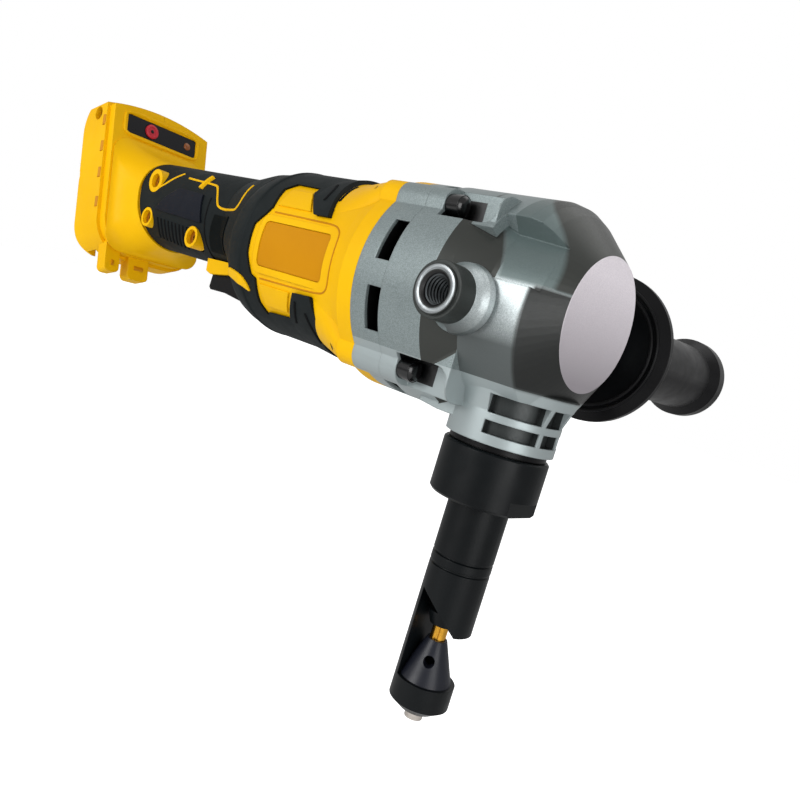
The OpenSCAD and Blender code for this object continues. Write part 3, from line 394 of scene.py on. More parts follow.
class Shader(NodeSketch):
    """One material under construction."""

    def __init__(self, name: str) -> None:
        """Makes the material with its main shader and its coordinates."""
        self.material = bpy.data.materials.new(name)
        self.material.use_nodes = True
        super().__init__(self.material.node_tree)
        self.main = self.tree.nodes["Principled BSDF"]
        self.place = self.add("ShaderNodeTexCoord").outputs["Object"]

    def effect(self, group: bpy.types.NodeTree, **values: float) -> bpy.types.Node:
        """Places a shader group that reads the object's coordinates.

        Args:
            group: The group.
            values: Values of its inputs, with low lines for spaces.

        Returns:
            The group node.
        """
        node = self.add("ShaderNodeGroup", node_tree=group)
        self.feed(node.inputs["Coordinates"], self.place)
        for key, value in values.items():
            node.inputs[key.replace("_", " ")].default_value = value
        return node

    def mix(self, factor: object, first: object, second: object) -> object:
        """Mixes two colours, each a linear colour or an output socket."""
        node = self.add("ShaderNodeMix", data_type="RGBA")
        self.feed(node.inputs[0], factor)
        for socket, value in ((node.inputs[6], first), (node.inputs[7], second)):
            if isinstance(value, tuple):
                socket.default_value = (*value, 1)
            else:
                self.feed(socket, value)
        return node.outputs[2]

    def spread(self, value: object, low: float, high: float, source: Point = (0.3, 0.7)) -> Signal:
        """Maps a value from a source span to a span between two numbers."""
        node = self.add("ShaderNodeMapRange")
        labels = ("Value", "From Min", "From Max", "To Min", "To Max")
        for label, number in zip(labels, (value, *source, low, high)):
            self.feed(node.inputs[label], number)
        return Signal(self, node.outputs["Result"])

    def settle(self, **values: object) -> None:
        """Feeds inputs of the main shader, named with low lines for spaces."""
        for key, value in values.items():
            self.feed(self.main.inputs[key.replace("_", " ")], value)

    def relief(self, height: object, strength: float, depth: float, edge: float) -> None:
        """Gives the surface a relief over softly rounded edges.

        Args:
            height: The height.
            strength: Strength of the relief.
            depth: Depth of the relief in metres.
            edge: Radius of the rounded edges in metres.
        """
        bump = self.add("ShaderNodeBump")
        self.feed(bump.inputs["Strength"], strength)
        self.feed(bump.inputs["Distance"], depth)
        self.feed(bump.inputs["Height"], height)
        bevel = self.add("ShaderNodeBevel", samples=4)
        self.feed(bevel.inputs["Radius"], edge)
        self.feed(bump.inputs["Normal"], bevel.outputs["Normal"])
        self.settle(Normal=bump.outputs["Normal"])


@dataclass(frozen=True)
class Finish:
    """A plain finish: a fine grain, a slow change of tone and faint smudges.

    Attributes:
        colour: Screen colour, 0 to 255.
        shade: Screen colour of the darker tone, or None for 0.72 of the linear colour.
        tone_from: Output of the grain effect that mixes colour and shade.
        rough_rise: How much rougher than the plain roughness the smudges are.
        depth: Depth of the grain.
        edge: Radius of the rounded edges.
    """

    name: str
    colour: Screen
    shade: Optional[Screen]
    roughness: float
    grain_scale: float = 2200.0
    grain: float = 0.15
    edge: float = 0.4 * MM
    specular: float = 0.5
    coat: float = 0.0
    metallic: float = 0.0
    tone_scale: float = 30.0
    tone_from: str = "Tone"
    rough_rise: float = 0.06
    depth: float = 0.08 * MM

    @classmethod
    def metal(
        cls, name: str, colour: Screen, roughness: float, scale: float = 900.0, marks: float = 0.1
    ) -> "Finish":
        """Describes bare or plated metal.

        Args:
            name: Name of the material.
            colour: Its screen colour.
            roughness: Its plain roughness.
            scale: Fineness of its working marks.
            marks: Strength of its working marks.

        Returns:
            The finish.
        """
        return cls(
            name, colour, None, roughness, scale, marks, 0.2 * MM,
            metallic=1.0, tone_scale=60.0, tone_from="Smudge", rough_rise=0.08, depth=0.05 * MM,
        )

    def build(self, grain_group: bpy.types.NodeTree) -> bpy.types.Material:
        """Builds the material.

        Args:
            grain_group: The shared grain effect.

        Returns:
            The material.
        """
        shader = Shader(self.name)
        grain = shader.effect(grain_group, Grain_Scale=self.grain_scale, Tone_Scale=self.tone_scale)
        tone = shader.spread(grain.outputs[self.tone_from], 0.0, 1.0)
        smudge = grain.outputs["Smudge"]
        colour = srgb(*self.colour)
        shade = srgb(*self.shade) if self.shade else tuple(part * 0.72 for part in colour)
        shader.settle(
            Base_Color=shader.mix(tone, colour, shade),
            Roughness=shader.spread(smudge, self.roughness - 0.05, self.roughness + self.rough_rise),
            Specular_IOR_Level=self.specular,
            Metallic=self.metallic,
            Coat_Weight=self.coat,
            Coat_Roughness=0.15,
        )
        shader.relief(grain.outputs["Height"], self.grain, self.depth, self.edge)
        return shader.material


@dataclass(frozen=True)
class CastingFinish:
    """Painted casting: flaked grey, dark smooth bevel and cone, pearl face, black openings; much of this
    dark and light is painted shade and painted highlight.

    Lengths are millimetres from the flange plane (along), from the motor axis (height) and from the middle
    plane (across).

    Attributes:
        boss: Place of the axis of the side bosses.
        bevel_slope: Fall of the bevel behind the belt, per millimetre along.
        panel_line: Height of the crease between upper and lower side.
        bevel_line: Height down to which the dark upper bevel runs.
        blur: Half width of a soft crease.
        ear_end: Where the screw ears end, which lie past ear_z and ear_y.
        boss_base: How far out the paint of a boss starts.
        neck_x: Place of the neck's axis, round which the recesses, painted dark as shade, lie inside neck_r.
        wall: Wall of the belt, inside of which all is painted black as shade.
        rear_arc: Crease behind the sunken field: foremost place, its height, reach and drop.
        front_arc: Crease before the sunken field, in the same way.
    """

    name: str
    flange_x: float
    axis_z: float
    belt_end: float
    face_x: float
    belt_r: float
    boss: Point
    light: Colour = srgb(144, 155, 156)
    dark: Colour = srgb(114, 125, 125)
    sunk: Colour = srgb(92, 106, 105)
    # Lower side panel: its own pale paint, lifted to a painted highlight at the top
    bright: Colour = srgb(208, 216, 217)
    bright_shade: Colour = srgb(160, 170, 171)
    # Bottom of the lower side panel: painted shade
    low_side_shade: Colour = srgb(88, 94, 94)
    # Inside the neck recesses: painted shade
    recess_shade: Colour = srgb(50, 54, 54)
    # Bevel and cone: their own smooth dark paint, darkened further as painted shade
    smooth_and_shaded: Colour = srgb(54, 56, 53)
    # Lower cone: painted shade
    low_cone_shade: Colour = srgb(30, 32, 31)
    boss_paint: Colour = srgb(46, 50, 48)
    # Face: its own pearl paint, partly a painted reflection of the machined face
    pearl: Colour = srgb(244, 237, 243)
    pearl_dark: Colour = srgb(222, 215, 222)
    # Bottom of the face: painted shade
    pearl_shaded: Colour = srgb(148, 142, 148)
    # Openings and the inside of the belt: painted shade
    black: Colour = srgb(5, 5, 6)
    bevel_slope: float = 0.4545
    bevel_end: float = 42.0
    bevel_band: float = 0.6
    panel_line: float = 8.0
    bevel_line: float = 4.4
    blur: float = 0.7
    cone_start: float = 61.2
    ear_end: float = 46.0
    ear_z: float = 22.5
    ear_y: float = 19.5
    boss_base: float = 39.6
    boss_r: float = 9.0
    bore_r: float = 5.3
    neck_x: float = 48.2
    neck_r: float = 17.5
    neck_line: float = -22.0
    wall: float = 1.2
    rear_arc: tuple[float, float, float, float] = (50.5, 0.0, 34.0, 18.4)
    front_arc: tuple[float, float, float, float] = (66.0, 11.0, 24.0, 16.0)

    def past(self, shader: Shader, value: Signal, edge: object) -> Signal:
        """Gives a mask that rises softly from 0 to 1 where a value passes an edge."""
        return shader.spread(value - edge, 0.0, 1.0, (-self.blur, self.blur))

    def crease(self, shader: Shader, height: Signal, arc: tuple[float, float, float, float]) -> Signal:
        """Gives the curved crease foremost - drop * ((height - low) / reach) ** 2."""
        foremost, low, reach, drop = arc
        share = shader.math("DIVIDE", height - low, reach)
        return foremost - share * share * drop

    def build(self, flake_group: bpy.types.NodeTree) -> bpy.types.Material:
        """Builds the material.

        Args:
            flake_group: The shared flake effect.

        Returns:
            The material.
        """
        shader = Shader(self.name)
        effect = shader.effect(flake_group)
        parts = shader.add("ShaderNodeSeparateXYZ")
        shader.feed(parts.inputs[0], shader.place)
        x, y, z = (Signal(shader, socket) for socket in parts.outputs)
        along = (x - self.flange_x) * (1 / MM)
        across = abs(y * (1 / MM))
        height = (z - self.axis_z) * (1 / MM)
        radius = height.length(across)

        # Masks of the dark bevel and cone, left open at the screw ears. The dark is partly their own smooth
        # paint and partly painted shade; the lower cone is painted darker still as shade
        line = self.belt_r - (along - self.belt_end) * self.bevel_slope
        upper = self.past(shader, height, self.panel_line)
        lower = 1.0 - upper
        behind = along > self.belt_end + 0.1
        under = radius < line + self.bevel_band
        past_rear = self.past(shader, along, self.crease(shader, height, self.rear_arc))
        front = self.crease(shader, height | self.front_arc[1], self.front_arc)
        bevel_up = self.past(shader, height, self.bevel_line) & behind & (1.0 - past_rear) & under
        bevel_low = lower & behind & (along < self.bevel_end) & (abs(radius - line) < self.bevel_band)
        cone_up = upper & self.past(shader, along, front)
        above_neck = self.past(shader, height, self.neck_line)
        cone_low = lower & above_neck & self.past(shader, along, self.cone_start)
        ear = (abs(height) > self.ear_z) & (across > self.ear_y) & (along < self.ear_end)
        smooth_and_shaded = (bevel_up | bevel_low | cone_up | cone_low) & (1.0 - ear)

        # Masks of the other fields
        sunk = upper & (under | (along > self.ear_end)) & past_rear
        side = lower & (along > self.bevel_end)
        face = along > self.face_x - 0.15
        neck = height < self.neck_line
        # Recesses of the neck, painted dark as shade
        recess_shade = neck & ((along - self.neck_x).length(across) < self.neck_r)
        from_boss = (along - self.boss[0]).length(height - self.boss[1])
        outside = across > self.boss_base
        boss = outside & (from_boss < self.boss_r)
        inside = (radius < self.belt_r - self.wall) & (along < self.belt_end)
        # Bores of the bosses and the inside of the belt, painted black as shade
        void = (outside & (from_boss < self.bore_r)) | inside

        # Paint, from the widest field to the smallest
        flake = shader.spread(effect.outputs["Flake"], 0.0, 1.0, (0.0, 1.0))
        paint = shader.mix(flake, self.dark, self.light)
        # Lower side panel: lighter at the top, a painted highlight, and darker towards the bottom, a painted
        # shade
        panel_shade_fall = shader.spread(height, 1.0, 0.0, (-11.0, -3.0))
        panel = shader.mix(panel_shade_fall, shader.mix(flake, self.bright_shade, self.bright), self.low_side_shade)
        # Face: darker towards the bottom, a painted shade
        face_light_fall = shader.spread(height, 0.0, 1.0, (-16.0, 18.0))
        pearl = shader.mix(face_light_fall, self.pearl_shaded, shader.mix(flake, self.pearl_dark, self.pearl))
        for mask, colour in (
            (side | neck, shader.mix(neck, panel, self.bright_shade)),
            (sunk * 0.85, self.sunk),
            (smooth_and_shaded, shader.mix(cone_low, self.smooth_and_shaded, self.low_cone_shade)),
            (face, pearl),
            (boss, self.boss_paint),
            (recess_shade, self.recess_shade),
            (void, self.black),
        ):
            paint = shader.mix(mask, paint, colour)
        shader.settle(
            Base_Color=paint,
            Roughness=shader.spread(effect.outputs["Flake"], 0.3, 0.46, (0.0, 1.0)),
            # The face is less metallic, its light pearl partly a painted reflection; the black openings are
            # not metallic
            Metallic=(1.0 - (void | face * 0.75)) * 0.4,
        )
        pebbles = Signal(shader, effect.outputs["Height"])
        shader.relief(pebbles * (1.0 - (smooth_and_shaded | boss) * 0.9), 0.3, 0.12 * MM, 0.6 * MM)
        return shader.material


class Workshop:
    """All finishes of the tool, built once."""

    def __init__(self, view: "SideView") -> None:
        """Builds the shared effects and every finish.

        Args:
            view: The side view of the power unit, which places the zones of the casting.
        """
        table = {
            "yellow": Finish("yellow_plastic", (244, 190, 0), (236, 179, 0), 0.48, specular=0.12),
            # Darker yellow for the slots, the lug marks and the frame line on the barrel: painted shade
            "orange": Finish("shaded_yellow", (206, 138, 0), (192, 124, 0), 0.5, specular=0.2),
            "label": Finish("label_foil", (204, 138, 4), (196, 130, 4), 0.45, 2600.0, 0.05, specular=0.1),
            "rubber": Finish("soft_rubber", (25, 31, 32), (18, 23, 24), 0.62, 1500.0, 0.3, specular=0.12),
            "ridge": Finish("ridge_rubber", (11, 13, 15), (7, 9, 10), 0.7, 1500.0, 0.3, specular=0.12),
            "inset": Finish("inset_rubber", (5, 11, 11), (3, 7, 7), 0.7, 1500.0, 0.25, specular=0.08),
            "thumb": Finish("thumb_rubber", (19, 23, 33), (14, 18, 27), 0.55, 1500.0, 0.3, specular=0.12),
            "panel": Finish("panel_film", (10, 9, 14), (7, 6, 11), 0.3, 2500.0, 0.05, specular=0.25),
            "red": Finish("red_button", (205, 52, 66), (180, 38, 52), 0.4, 2500.0, 0.05, 0.2 * MM, 0.3),
            "amber": Finish("amber_lens", (150, 84, 20), (120, 62, 12), 0.2, 2500.0, 0.02, 0.1 * MM),
            "black": Finish("black_plastic", (9, 9, 11), (6, 6, 8), 0.34, 1800.0, 0.1, specular=0.18),
            "satin": Finish(
                "satin_black_steel", (10, 14, 16), (7, 10, 12), 0.34, 2600.0, 0.08, 0.25 * MM, 0.18
            ),
            "die": Finish("blued_die_steel", (24, 27, 37), (17, 19, 28), 0.36, 2600.0, 0.1, 0.2 * MM, 0.3),
            "lacquer": Finish("glossy_screw", (7, 7, 8), (4, 4, 5), 0.18, 2600.0, 0.02, 0.3 * MM, 0.35, 0.4),
            # Near black for the bearing plate: painted shade inside the head
            "void": Finish("painted_inside_shade", (9, 9, 10), (5, 5, 6), 0.8, 1500.0, 0.1, specular=0.1),
            "board": Finish("board_green", (16, 84, 44), (12, 66, 34), 0.45, 2600.0, 0.1),
            "lead": Finish("lead_insulation", (180, 30, 30), (150, 22, 22), 0.45, 2600.0, 0.05),
            "steel": Finish.metal("ground_steel", (190, 192, 196), 0.32),
            "ring": Finish.metal("machined_ring", (158, 163, 165), 0.34, 1400.0, 0.2),
            "thread": Finish.metal("thread_steel", (88, 92, 94), 0.35),
            "pin": Finish.metal("polished_pin", (216, 208, 200), 0.14),
            "gold": Finish.metal("coated_punch", (232, 172, 62), 0.2),
            "copper": Finish.metal("wound_copper", (196, 112, 62), 0.35, 500.0, 0.5),
            "stack": Finish.metal("stacked_sheet", (120, 122, 126), 0.5),
            "brass": Finish.metal("brass_screw", (196, 150, 70), 0.3),
        }
        grain = build_grain_group()
        self.finishes = {key: finish.build(grain) for key, finish in table.items()}
        self.finishes["casting"] = view.casting_finish().build(build_sparkle_group())

    def __getitem__(self, key: str) -> bpy.types.Material:
        """Gives a finish by its short name."""
        return self.finishes[key]

    def dress(self, **nodes: str) -> None:
        """Gives construction nodes their finishes, as finish="node node"."""
        for key, names in nodes.items():
            for name in names.split():
                slots = frame["nodes"][name].data.materials
                slots.clear()
                slots.append(self[key])
                LOG.info("node %s is dressed in %s", name, self[key].name)


# Frames of the drawing


class SideView:
    """The side view of the power unit: millimetres from the flange plane and from the motor axis.

    Attributes:
        boss: Place of the axis of the side bosses and the side handle.
        belt_width: Length of the gearbox belt before the bevel.
        foot_x: Place of the battery foot's face.
        barrel_lift: Height of the barrel's own axis.
    """

    boss: Point = (42.8, -1.1)
    belt_width: float = 18.0
    foot_x: float = -190.9
    barrel_lift: float = 1.0

    def __init__(self) -> None:
        """Reads the flange plane and the motor axis from the frame."""
        self.ring_low, self.ring_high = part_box("vent_ring")
        shaft_low, shaft_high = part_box("rotor_shaft")
        self.flange_x = self.ring_low.x
        self.axis_z = (shaft_low.z + shaft_high.z) / 2

    def at(self, x: float, z: float, y: float = 0.0) -> Vector:
        """Turns a point of the side view, in millimetres, into the frame."""
        return Vector((self.flange_x + x * MM, y * MM, self.axis_z + z * MM))

    def casting_finish(self) -> CastingFinish:
        """Describes the painted casting, with the sizes that the frame gives."""
        return CastingFinish(
            name="painted_casting",
            flange_x=self.flange_x,
            axis_z=self.axis_z,
            belt_end=(self.ring_high.x - self.flange_x) / MM + self.belt_width,
            face_x=(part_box("gearbox_housing")[1].x - self.flange_x) / MM,
            belt_r=self.ring_high.y / MM,
            boss=self.boss,
        )


class FootView:
    """The tilted frame of the battery foot: depth, width and height in millimetres."""

    def __init__(self, view: SideView) -> None:
        """Reads the tilt from the way of the button.

        Args:
            view: The side view of the power unit.
        """
        joints = {joint["name"]: joint for joint in frame["joints"]}
        self.out = -Vector(joints["button_press"]["axis"]).normalized()
        self.up = Vector((-self.out.z, 0, self.out.x))
        self.origin = view.at(view.foot_x, 0)

    def at(self, out: float, y: float, up: float) -> Vector:
        """Turns depth, width and height into the frame."""
        return self.origin + self.out * (out * MM) + Vector((0, y * MM, 0)) + self.up * (up * MM)


# Shapes that lie on a skin


def joined_skin(*nodes: str, dressing: Sequence[str] = ()) -> bpy.types.Object:
    """Makes one merged copy of construction nodes, for pieces to lie on.

    Args:
        nodes: Names of the nodes.
        dressing: Names of pieces of this script that belong to the skin too.

    Returns:
        The copy, which is deleted when its pieces are done.
    """
    pick(*[frame["nodes"][name] for name in nodes], *[bpy.data.objects[name] for name in dressing])
    bpy.ops.object.duplicate(linked=False)
    copies = list(bpy.context.selected_objects)
    pick(*copies)
    if len(copies) > 1:
        bpy.ops.object.join()
    skin = bpy.context.object
    skin.name = "skin"
    skin.parent = None
    for key in [key for key in skin.keys() if key.startswith("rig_")]:
        del skin[key]
    whole = skin.modifiers.new("Close the seams", "REMESH")
    whole.mode = "VOXEL"
    whole.voxel_size = SKIN_STEP
    apply_modifiers(skin)
    return skin


def project_sideways(piece: bpy.types.Object, skin: bpy.types.Object, sink: float) -> None:
    """Moves the points of a piece along +Y until they meet a skin, and then into it.

    Args:
        piece: A line or panel on the right of the skin.
        skin: The surface that it meets.
        sink: Depth under the skin in millimetres.
    """
    wrap = piece.modifiers.new("Seat", "SHRINKWRAP")
    wrap.target = skin
    wrap.wrap_method = "PROJECT"
    wrap.use_project_y = True
    wrap.use_positive_direction = True
    wrap.use_negative_direction = False
    apply_modifiers(piece)
    edit(piece)
    bpy.ops.transform.translate(value=(0, sink * MM, 0))
    leave_edit()


def drop(*objects: bpy.types.Object) -> None:
    """Deletes helper objects."""
    pick(*objects)
    bpy.ops.object.delete()


@dataclass
class Bead:
    """A round moulded line that lies on a skin.

    Attributes:
        points: Places near the skin.
        radius: Radius of the line in millimetres.
        sink: Depth of its middle under the skin in millimetres.
        closed: True for a ring.
        cuts: Number of points added to each stretch.
    """

    points: Sequence[Vector]
    radius: float
    sink: float = 0.2
    closed: bool = False
    cuts: int = 5

    def build(self, name: str, skin: Optional[bpy.types.Object]) -> bpy.types.Object:
        """Draws the line, lays it on the skin and gives it its thickness.

        Args:
            name: Name of the new object.
            skin: The surface that it lies on, or None where the points are exact.

        Returns:
            The closed tube.
        """
        line = draw_line(name, self.points, self.closed)
        edit(line)
        bpy.ops.mesh.subdivide(number_cuts=self.cuts)
        bpy.ops.mesh.vertices_smooth(factor=0.5, repeat=3)
        leave_edit()
        if skin is not None:
            project_sideways(line, skin, self.sink)
        pick(line)
        bpy.ops.object.convert(target="CURVE")
        line.data.bevel_depth = self.radius * MM
        line.data.bevel_resolution = 2
        line.data.use_fill_caps = True
        bpy.ops.object.convert(target="MESH")
        tidy_mesh(line)
        return line


@dataclass
class Plate:
    """A thin panel with straight edges that lies on a skin.

    Attributes:
        outline: Corners in the side view, in millimetres, round a convex shape.
        proud: Height over the skin in millimetres.
        steps: Number of rows and columns of the grid it is cut from.
        soften: Width of its bevelled edge in millimetres.
        sink: Depth of its back under the skin in millimetres.
    """

    outline: Profile
    proud: float
    steps: int = 26
    soften: float = 0.25
    sink: float = 0.4

    def build(self, name: str, view: SideView, skin: bpy.types.Object) -> bpy.types.Object:
        """Cuts a grid to the outline, projects it on the skin and gives it its thickness.

        Args:
            name: Name of the new object.
            view: The side view that the outline is drawn in.
            skin: The surface that it lies on.

        Returns:
            The panel on the right side.
        """
        corners = [view.at(x, z, OUTSIDE) for x, z in self.outline]
        low = Vector([min(corner[axis] for corner in corners) for axis in range(3)])
        high = Vector([max(corner[axis] for corner in corners) for axis in range(3)])
        middle = (low + high) / 2
        pick()
        bpy.ops.mesh.primitive_grid_add(
            x_subdivisions=self.steps, y_subdivisions=self.steps, size=1, location=middle,
            rotation=(math.radians(90), 0, 0),
        )
        panel = bpy.context.object
        panel.name = name
        panel.scale = (high.x - low.x + MM, high.z - low.z + MM, 1)
        apply_place(panel)
        for start, end in zip(corners, corners[1:] + corners[:1]):
            edge = end - start
            outwards = Vector((edge.z, 0, -edge.x)).normalized()
            if outwards.dot(start - middle) < 0:
                outwards = -outwards
            edit(panel)
            bpy.ops.mesh.bisect(plane_co=start, plane_no=outwards, clear_outer=True)
        leave_edit()
        project_sideways(panel, skin, self.sink)
        wall = panel.modifiers.new("Wall", "SOLIDIFY")
        wall.thickness = (self.proud + self.sink) * MM
        wall.offset = 1
        soft = panel.modifiers.new("Soft edge", "BEVEL")
        soft.width = self.soften * MM
        soft.segments = 2
        soft.limit_method = "ANGLE"
        apply_modifiers(panel)
        tidy_mesh(panel)
        return panel


# Sub-assemblies


@dataclass
class SubAssembly:
    """A part of the tool that is drawn in the side view, with ways to add pieces to it."""

    view: SideView
    shop: Workshop

    def turn(
        self, name: str, profile: Profile, centre: Vector, axis: Vector, finish: str,
        body: str = "housing", steps: int = 72,
    ) -> None:
        """Adds a turned piece.

        Args:
            name: Name of the piece.
            profile: Radius and place along the axis of each corner, in millimetres.
            centre: The point on the axis that the profile counts from.
            axis: Direction of the axis.
            finish: Short name of its finish.
            body: The body that carries it.
            steps: Number of steps of the turn.
        """
        add_piece(revolve(name, profile, centre, axis, steps), name, body, self.shop[finish])

    def both(self, piece: bpy.types.Object, name: str, finish: str) -> None:
        """Adds a piece on the right side and its mirror copy on the left side."""
        copy = mirrored(piece, name + "_left")
        add_piece(piece, name + "_right", "housing", self.shop[finish])
        add_piece(copy, name + "_left", "housing", self.shop[finish])

    def beads(
        self, skin: bpy.types.Object, lines: dict[str, Profile], radius: float, finish: str,
        sink: float = 0.2,
    ) -> None:
        """Adds moulded lines on both sides.

        Args:
            skin: The surface that they lie on.
            lines: Name and places in the side view of each line.
            radius: Radius of the lines in millimetres.
            finish: Short name of their finish.
            sink: Depth of their middle under the skin in millimetres.
        """
        for name, points in lines.items():
            places = [self.view.at(x, z, OUTSIDE) for x, z in points]
            self.both(Bead(places, radius, sink).build(name, skin), name, finish)

    def plates(
        self, skin: bpy.types.Object, outlines: dict[str, Profile], proud: float, finish: str,
        soften: float = 0.25,
    ) -> None:
        """Adds thin panels on both sides.

        Args:
            skin: The surface that they lie on.
            outlines: Name and corners in the side view of each panel.
            proud: Height over the skin in millimetres.
            finish: Short name of their finish.
            soften: Width of the bevelled edge in millimetres.
        """
        for name, outline in outlines.items():
            self.both(Plate(outline, proud, soften=soften).build(name, self.view, skin), name, finish)


@dataclass
class BatteryFoot(SubAssembly):
    """The yellow foot that holds the battery, with its control panel.

    Attributes:
        rings: The fairing's sections: depth, half width, lower and upper line, corner radius.
        vents: Heights of the slots along each side, drawn as beads of painted shade.
        marks: Name, width place, reach and radius of the mark on each lug, a bead of painted shade.
        panel: Half width, lower and upper line of the panel's rim.
        button: Place of the button as width and height.
        light: Place of the status light as width and height.
    """

    foot: FootView
    half_w: float = 29.0
    rings: tuple[tuple[float, ...], ...] = (
        (0.1, 26.4, -21.6, 36.2, 8.0), (0.5, 25.2, -20.6, 34.9, 9.0), (1.4, 23.9, -19.8, 33.4, 11.0),
        (3.2, 22.6, -19.2, 31.2, 14.0), (6.5, 21.5, -18.9, 28.9, 17.0), (11.0, 20.7, -18.8, 26.6, 19.0),
        (17.0, 20.1, -18.6, 24.0, 19.8),
    )
    ring_points: int = 48
    vents: tuple[float, ...] = (44.0, 30.5, 17.0, 2.0)
    vent_half_h: float = 3.6
    vent_out: Point = (-7.0, -6.6)
    marks: tuple[tuple[str, float, float, float], ...] = (
        ("lug_dimple_shade", -20.5, 0.9, 1.6), ("lug_slot_shade", -6.0, 3.6, 1.3),
    )
    marks_up: float = -27.4
    marks_out: float = -2.1
    panel: tuple[float, float, float] = (21.6, 38.4, 50.8)
    button: Point = (-6.5, 44.6)
    button_r: float = 3.6
    light: Point = (15.0, 44.6)

    def build(self) -> None:
        """Dresses the foot and adds its details."""
        self.shop.dress(
            yellow="right_shell left_shell", panel="control_panel", red="panel_button", amber="status_light",
            board="controller_board", black="terminal_block", gold="battery_terminals", brass="shell_screws",
        )
        self.root_fairing()
        self.slots_and_marks()
        self.control_panel()

    def section(self, out: float, half_w: float, low: float, high: float, corner: float) -> list[Vector]:
        """Gives the points of a rounded rectangle across the foot's depth."""
        middle, half_h = (low + high) / 2, (high - low) / 2
        points = []
        for index in range(self.ring_points):
            angle = 2 * math.pi * (index + 0.5) / self.ring_points
            y = math.copysign(half_w - corner, math.cos(angle)) + corner * math.cos(angle)
            up = math.copysign(half_h - corner, math.sin(angle)) + corner * math.sin(angle)
            points.append(self.foot.at(out, y, middle + up))
        return points

    def root_fairing(self) -> None:
        """Adds the dished field that sweeps from the foot's face up to the grip."""
        loops = [draw_line("fairing_ring", self.section(*ring), closed=True) for ring in self.rings]
        pick(*loops)
        bpy.ops.object.join()
        fairing = bpy.context.object
        edit(fairing)
        bpy.ops.mesh.bridge_edge_loops()
        leave_edit()
        tidy_mesh(fairing)
        soft = fairing.modifiers.new("Soft", "SUBSURF")
        soft.levels = 1
        soft.render_levels = 1
        wall = fairing.modifiers.new("Wall", "SOLIDIFY")
        wall.thickness = 0.8 * MM
        wall.offset = -1
        apply_modifiers(fairing)
        tidy_mesh(fairing)
        add_piece(fairing, "root_fairing", "housing", self.shop["yellow"])

    def slots_and_marks(self) -> None:
        """Adds the slots along each side and the dimple and slot of the two lugs, as darker yellow beads of
        painted shade.
        """
        y = 1.0 - self.half_w
        for number, up in enumerate(self.vents, 1):
            low, high = up - self.vent_half_h, up + self.vent_half_h
            ends = [self.foot.at(self.vent_out[0], y, low), self.foot.at(self.vent_out[1], y, high)]
            # Each slot is a bead of darker yellow: painted shade in the slot
            self.both(Bead(ends, 1.7).build("vent", None), f"foot_vent_{number}", "orange")
        for name, y, reach, radius in self.marks:
            ends = [self.foot.at(self.marks_out, y + end, self.marks_up) for end in (-reach, reach)]
            # Each lug mark is a bead of darker yellow: painted shade in the dimple or slot
            add_piece(Bead(ends, radius).build(name, None), name, "housing", self.shop["orange"])

    def control_panel(self) -> None:
        """Adds the panel's rim, the ring and dark middle of the button, and the lens of the light."""
        wide, low, high = self.panel
        corners = [(-wide, low), (wide, low), (wide, high), (-wide, high)]
        rim = Bead([self.foot.at(-0.1, y, up) for y, up in corners], 0.9, closed=True, cuts=8)
        add_piece(rim.build("panel_rim", None), "panel_rim", "housing", self.shop["yellow"])
        centre = self.foot.at(0.5, *self.button)
        outer = self.button_r
        profile = [(outer - 1.5, -0.2), (outer - 0.15, -0.2), (outer - 0.15, 0.15), (outer - 0.6, 0.45),
                   (outer - 1.1, 0.45), (outer - 1.5, 0.15)]
        self.turn("button_ring", profile, centre, self.foot.out, "red", "button", 48)
        middle = [(0.0, -0.2), (0.9, -0.2), (0.9, 0.1), (0.5, 0.3), (0.0, 0.35)]
        self.turn("button_dot", middle, centre, self.foot.out, "panel", "button", 32)
        dome = [(0.0, -0.3), (2.0, -0.3), (1.9, 0.0), (1.2, 0.35), (0.0, 0.5)]
        self.turn("light_lens", dome, self.foot.at(0.0, *self.light), self.foot.out, "amber", steps=32)


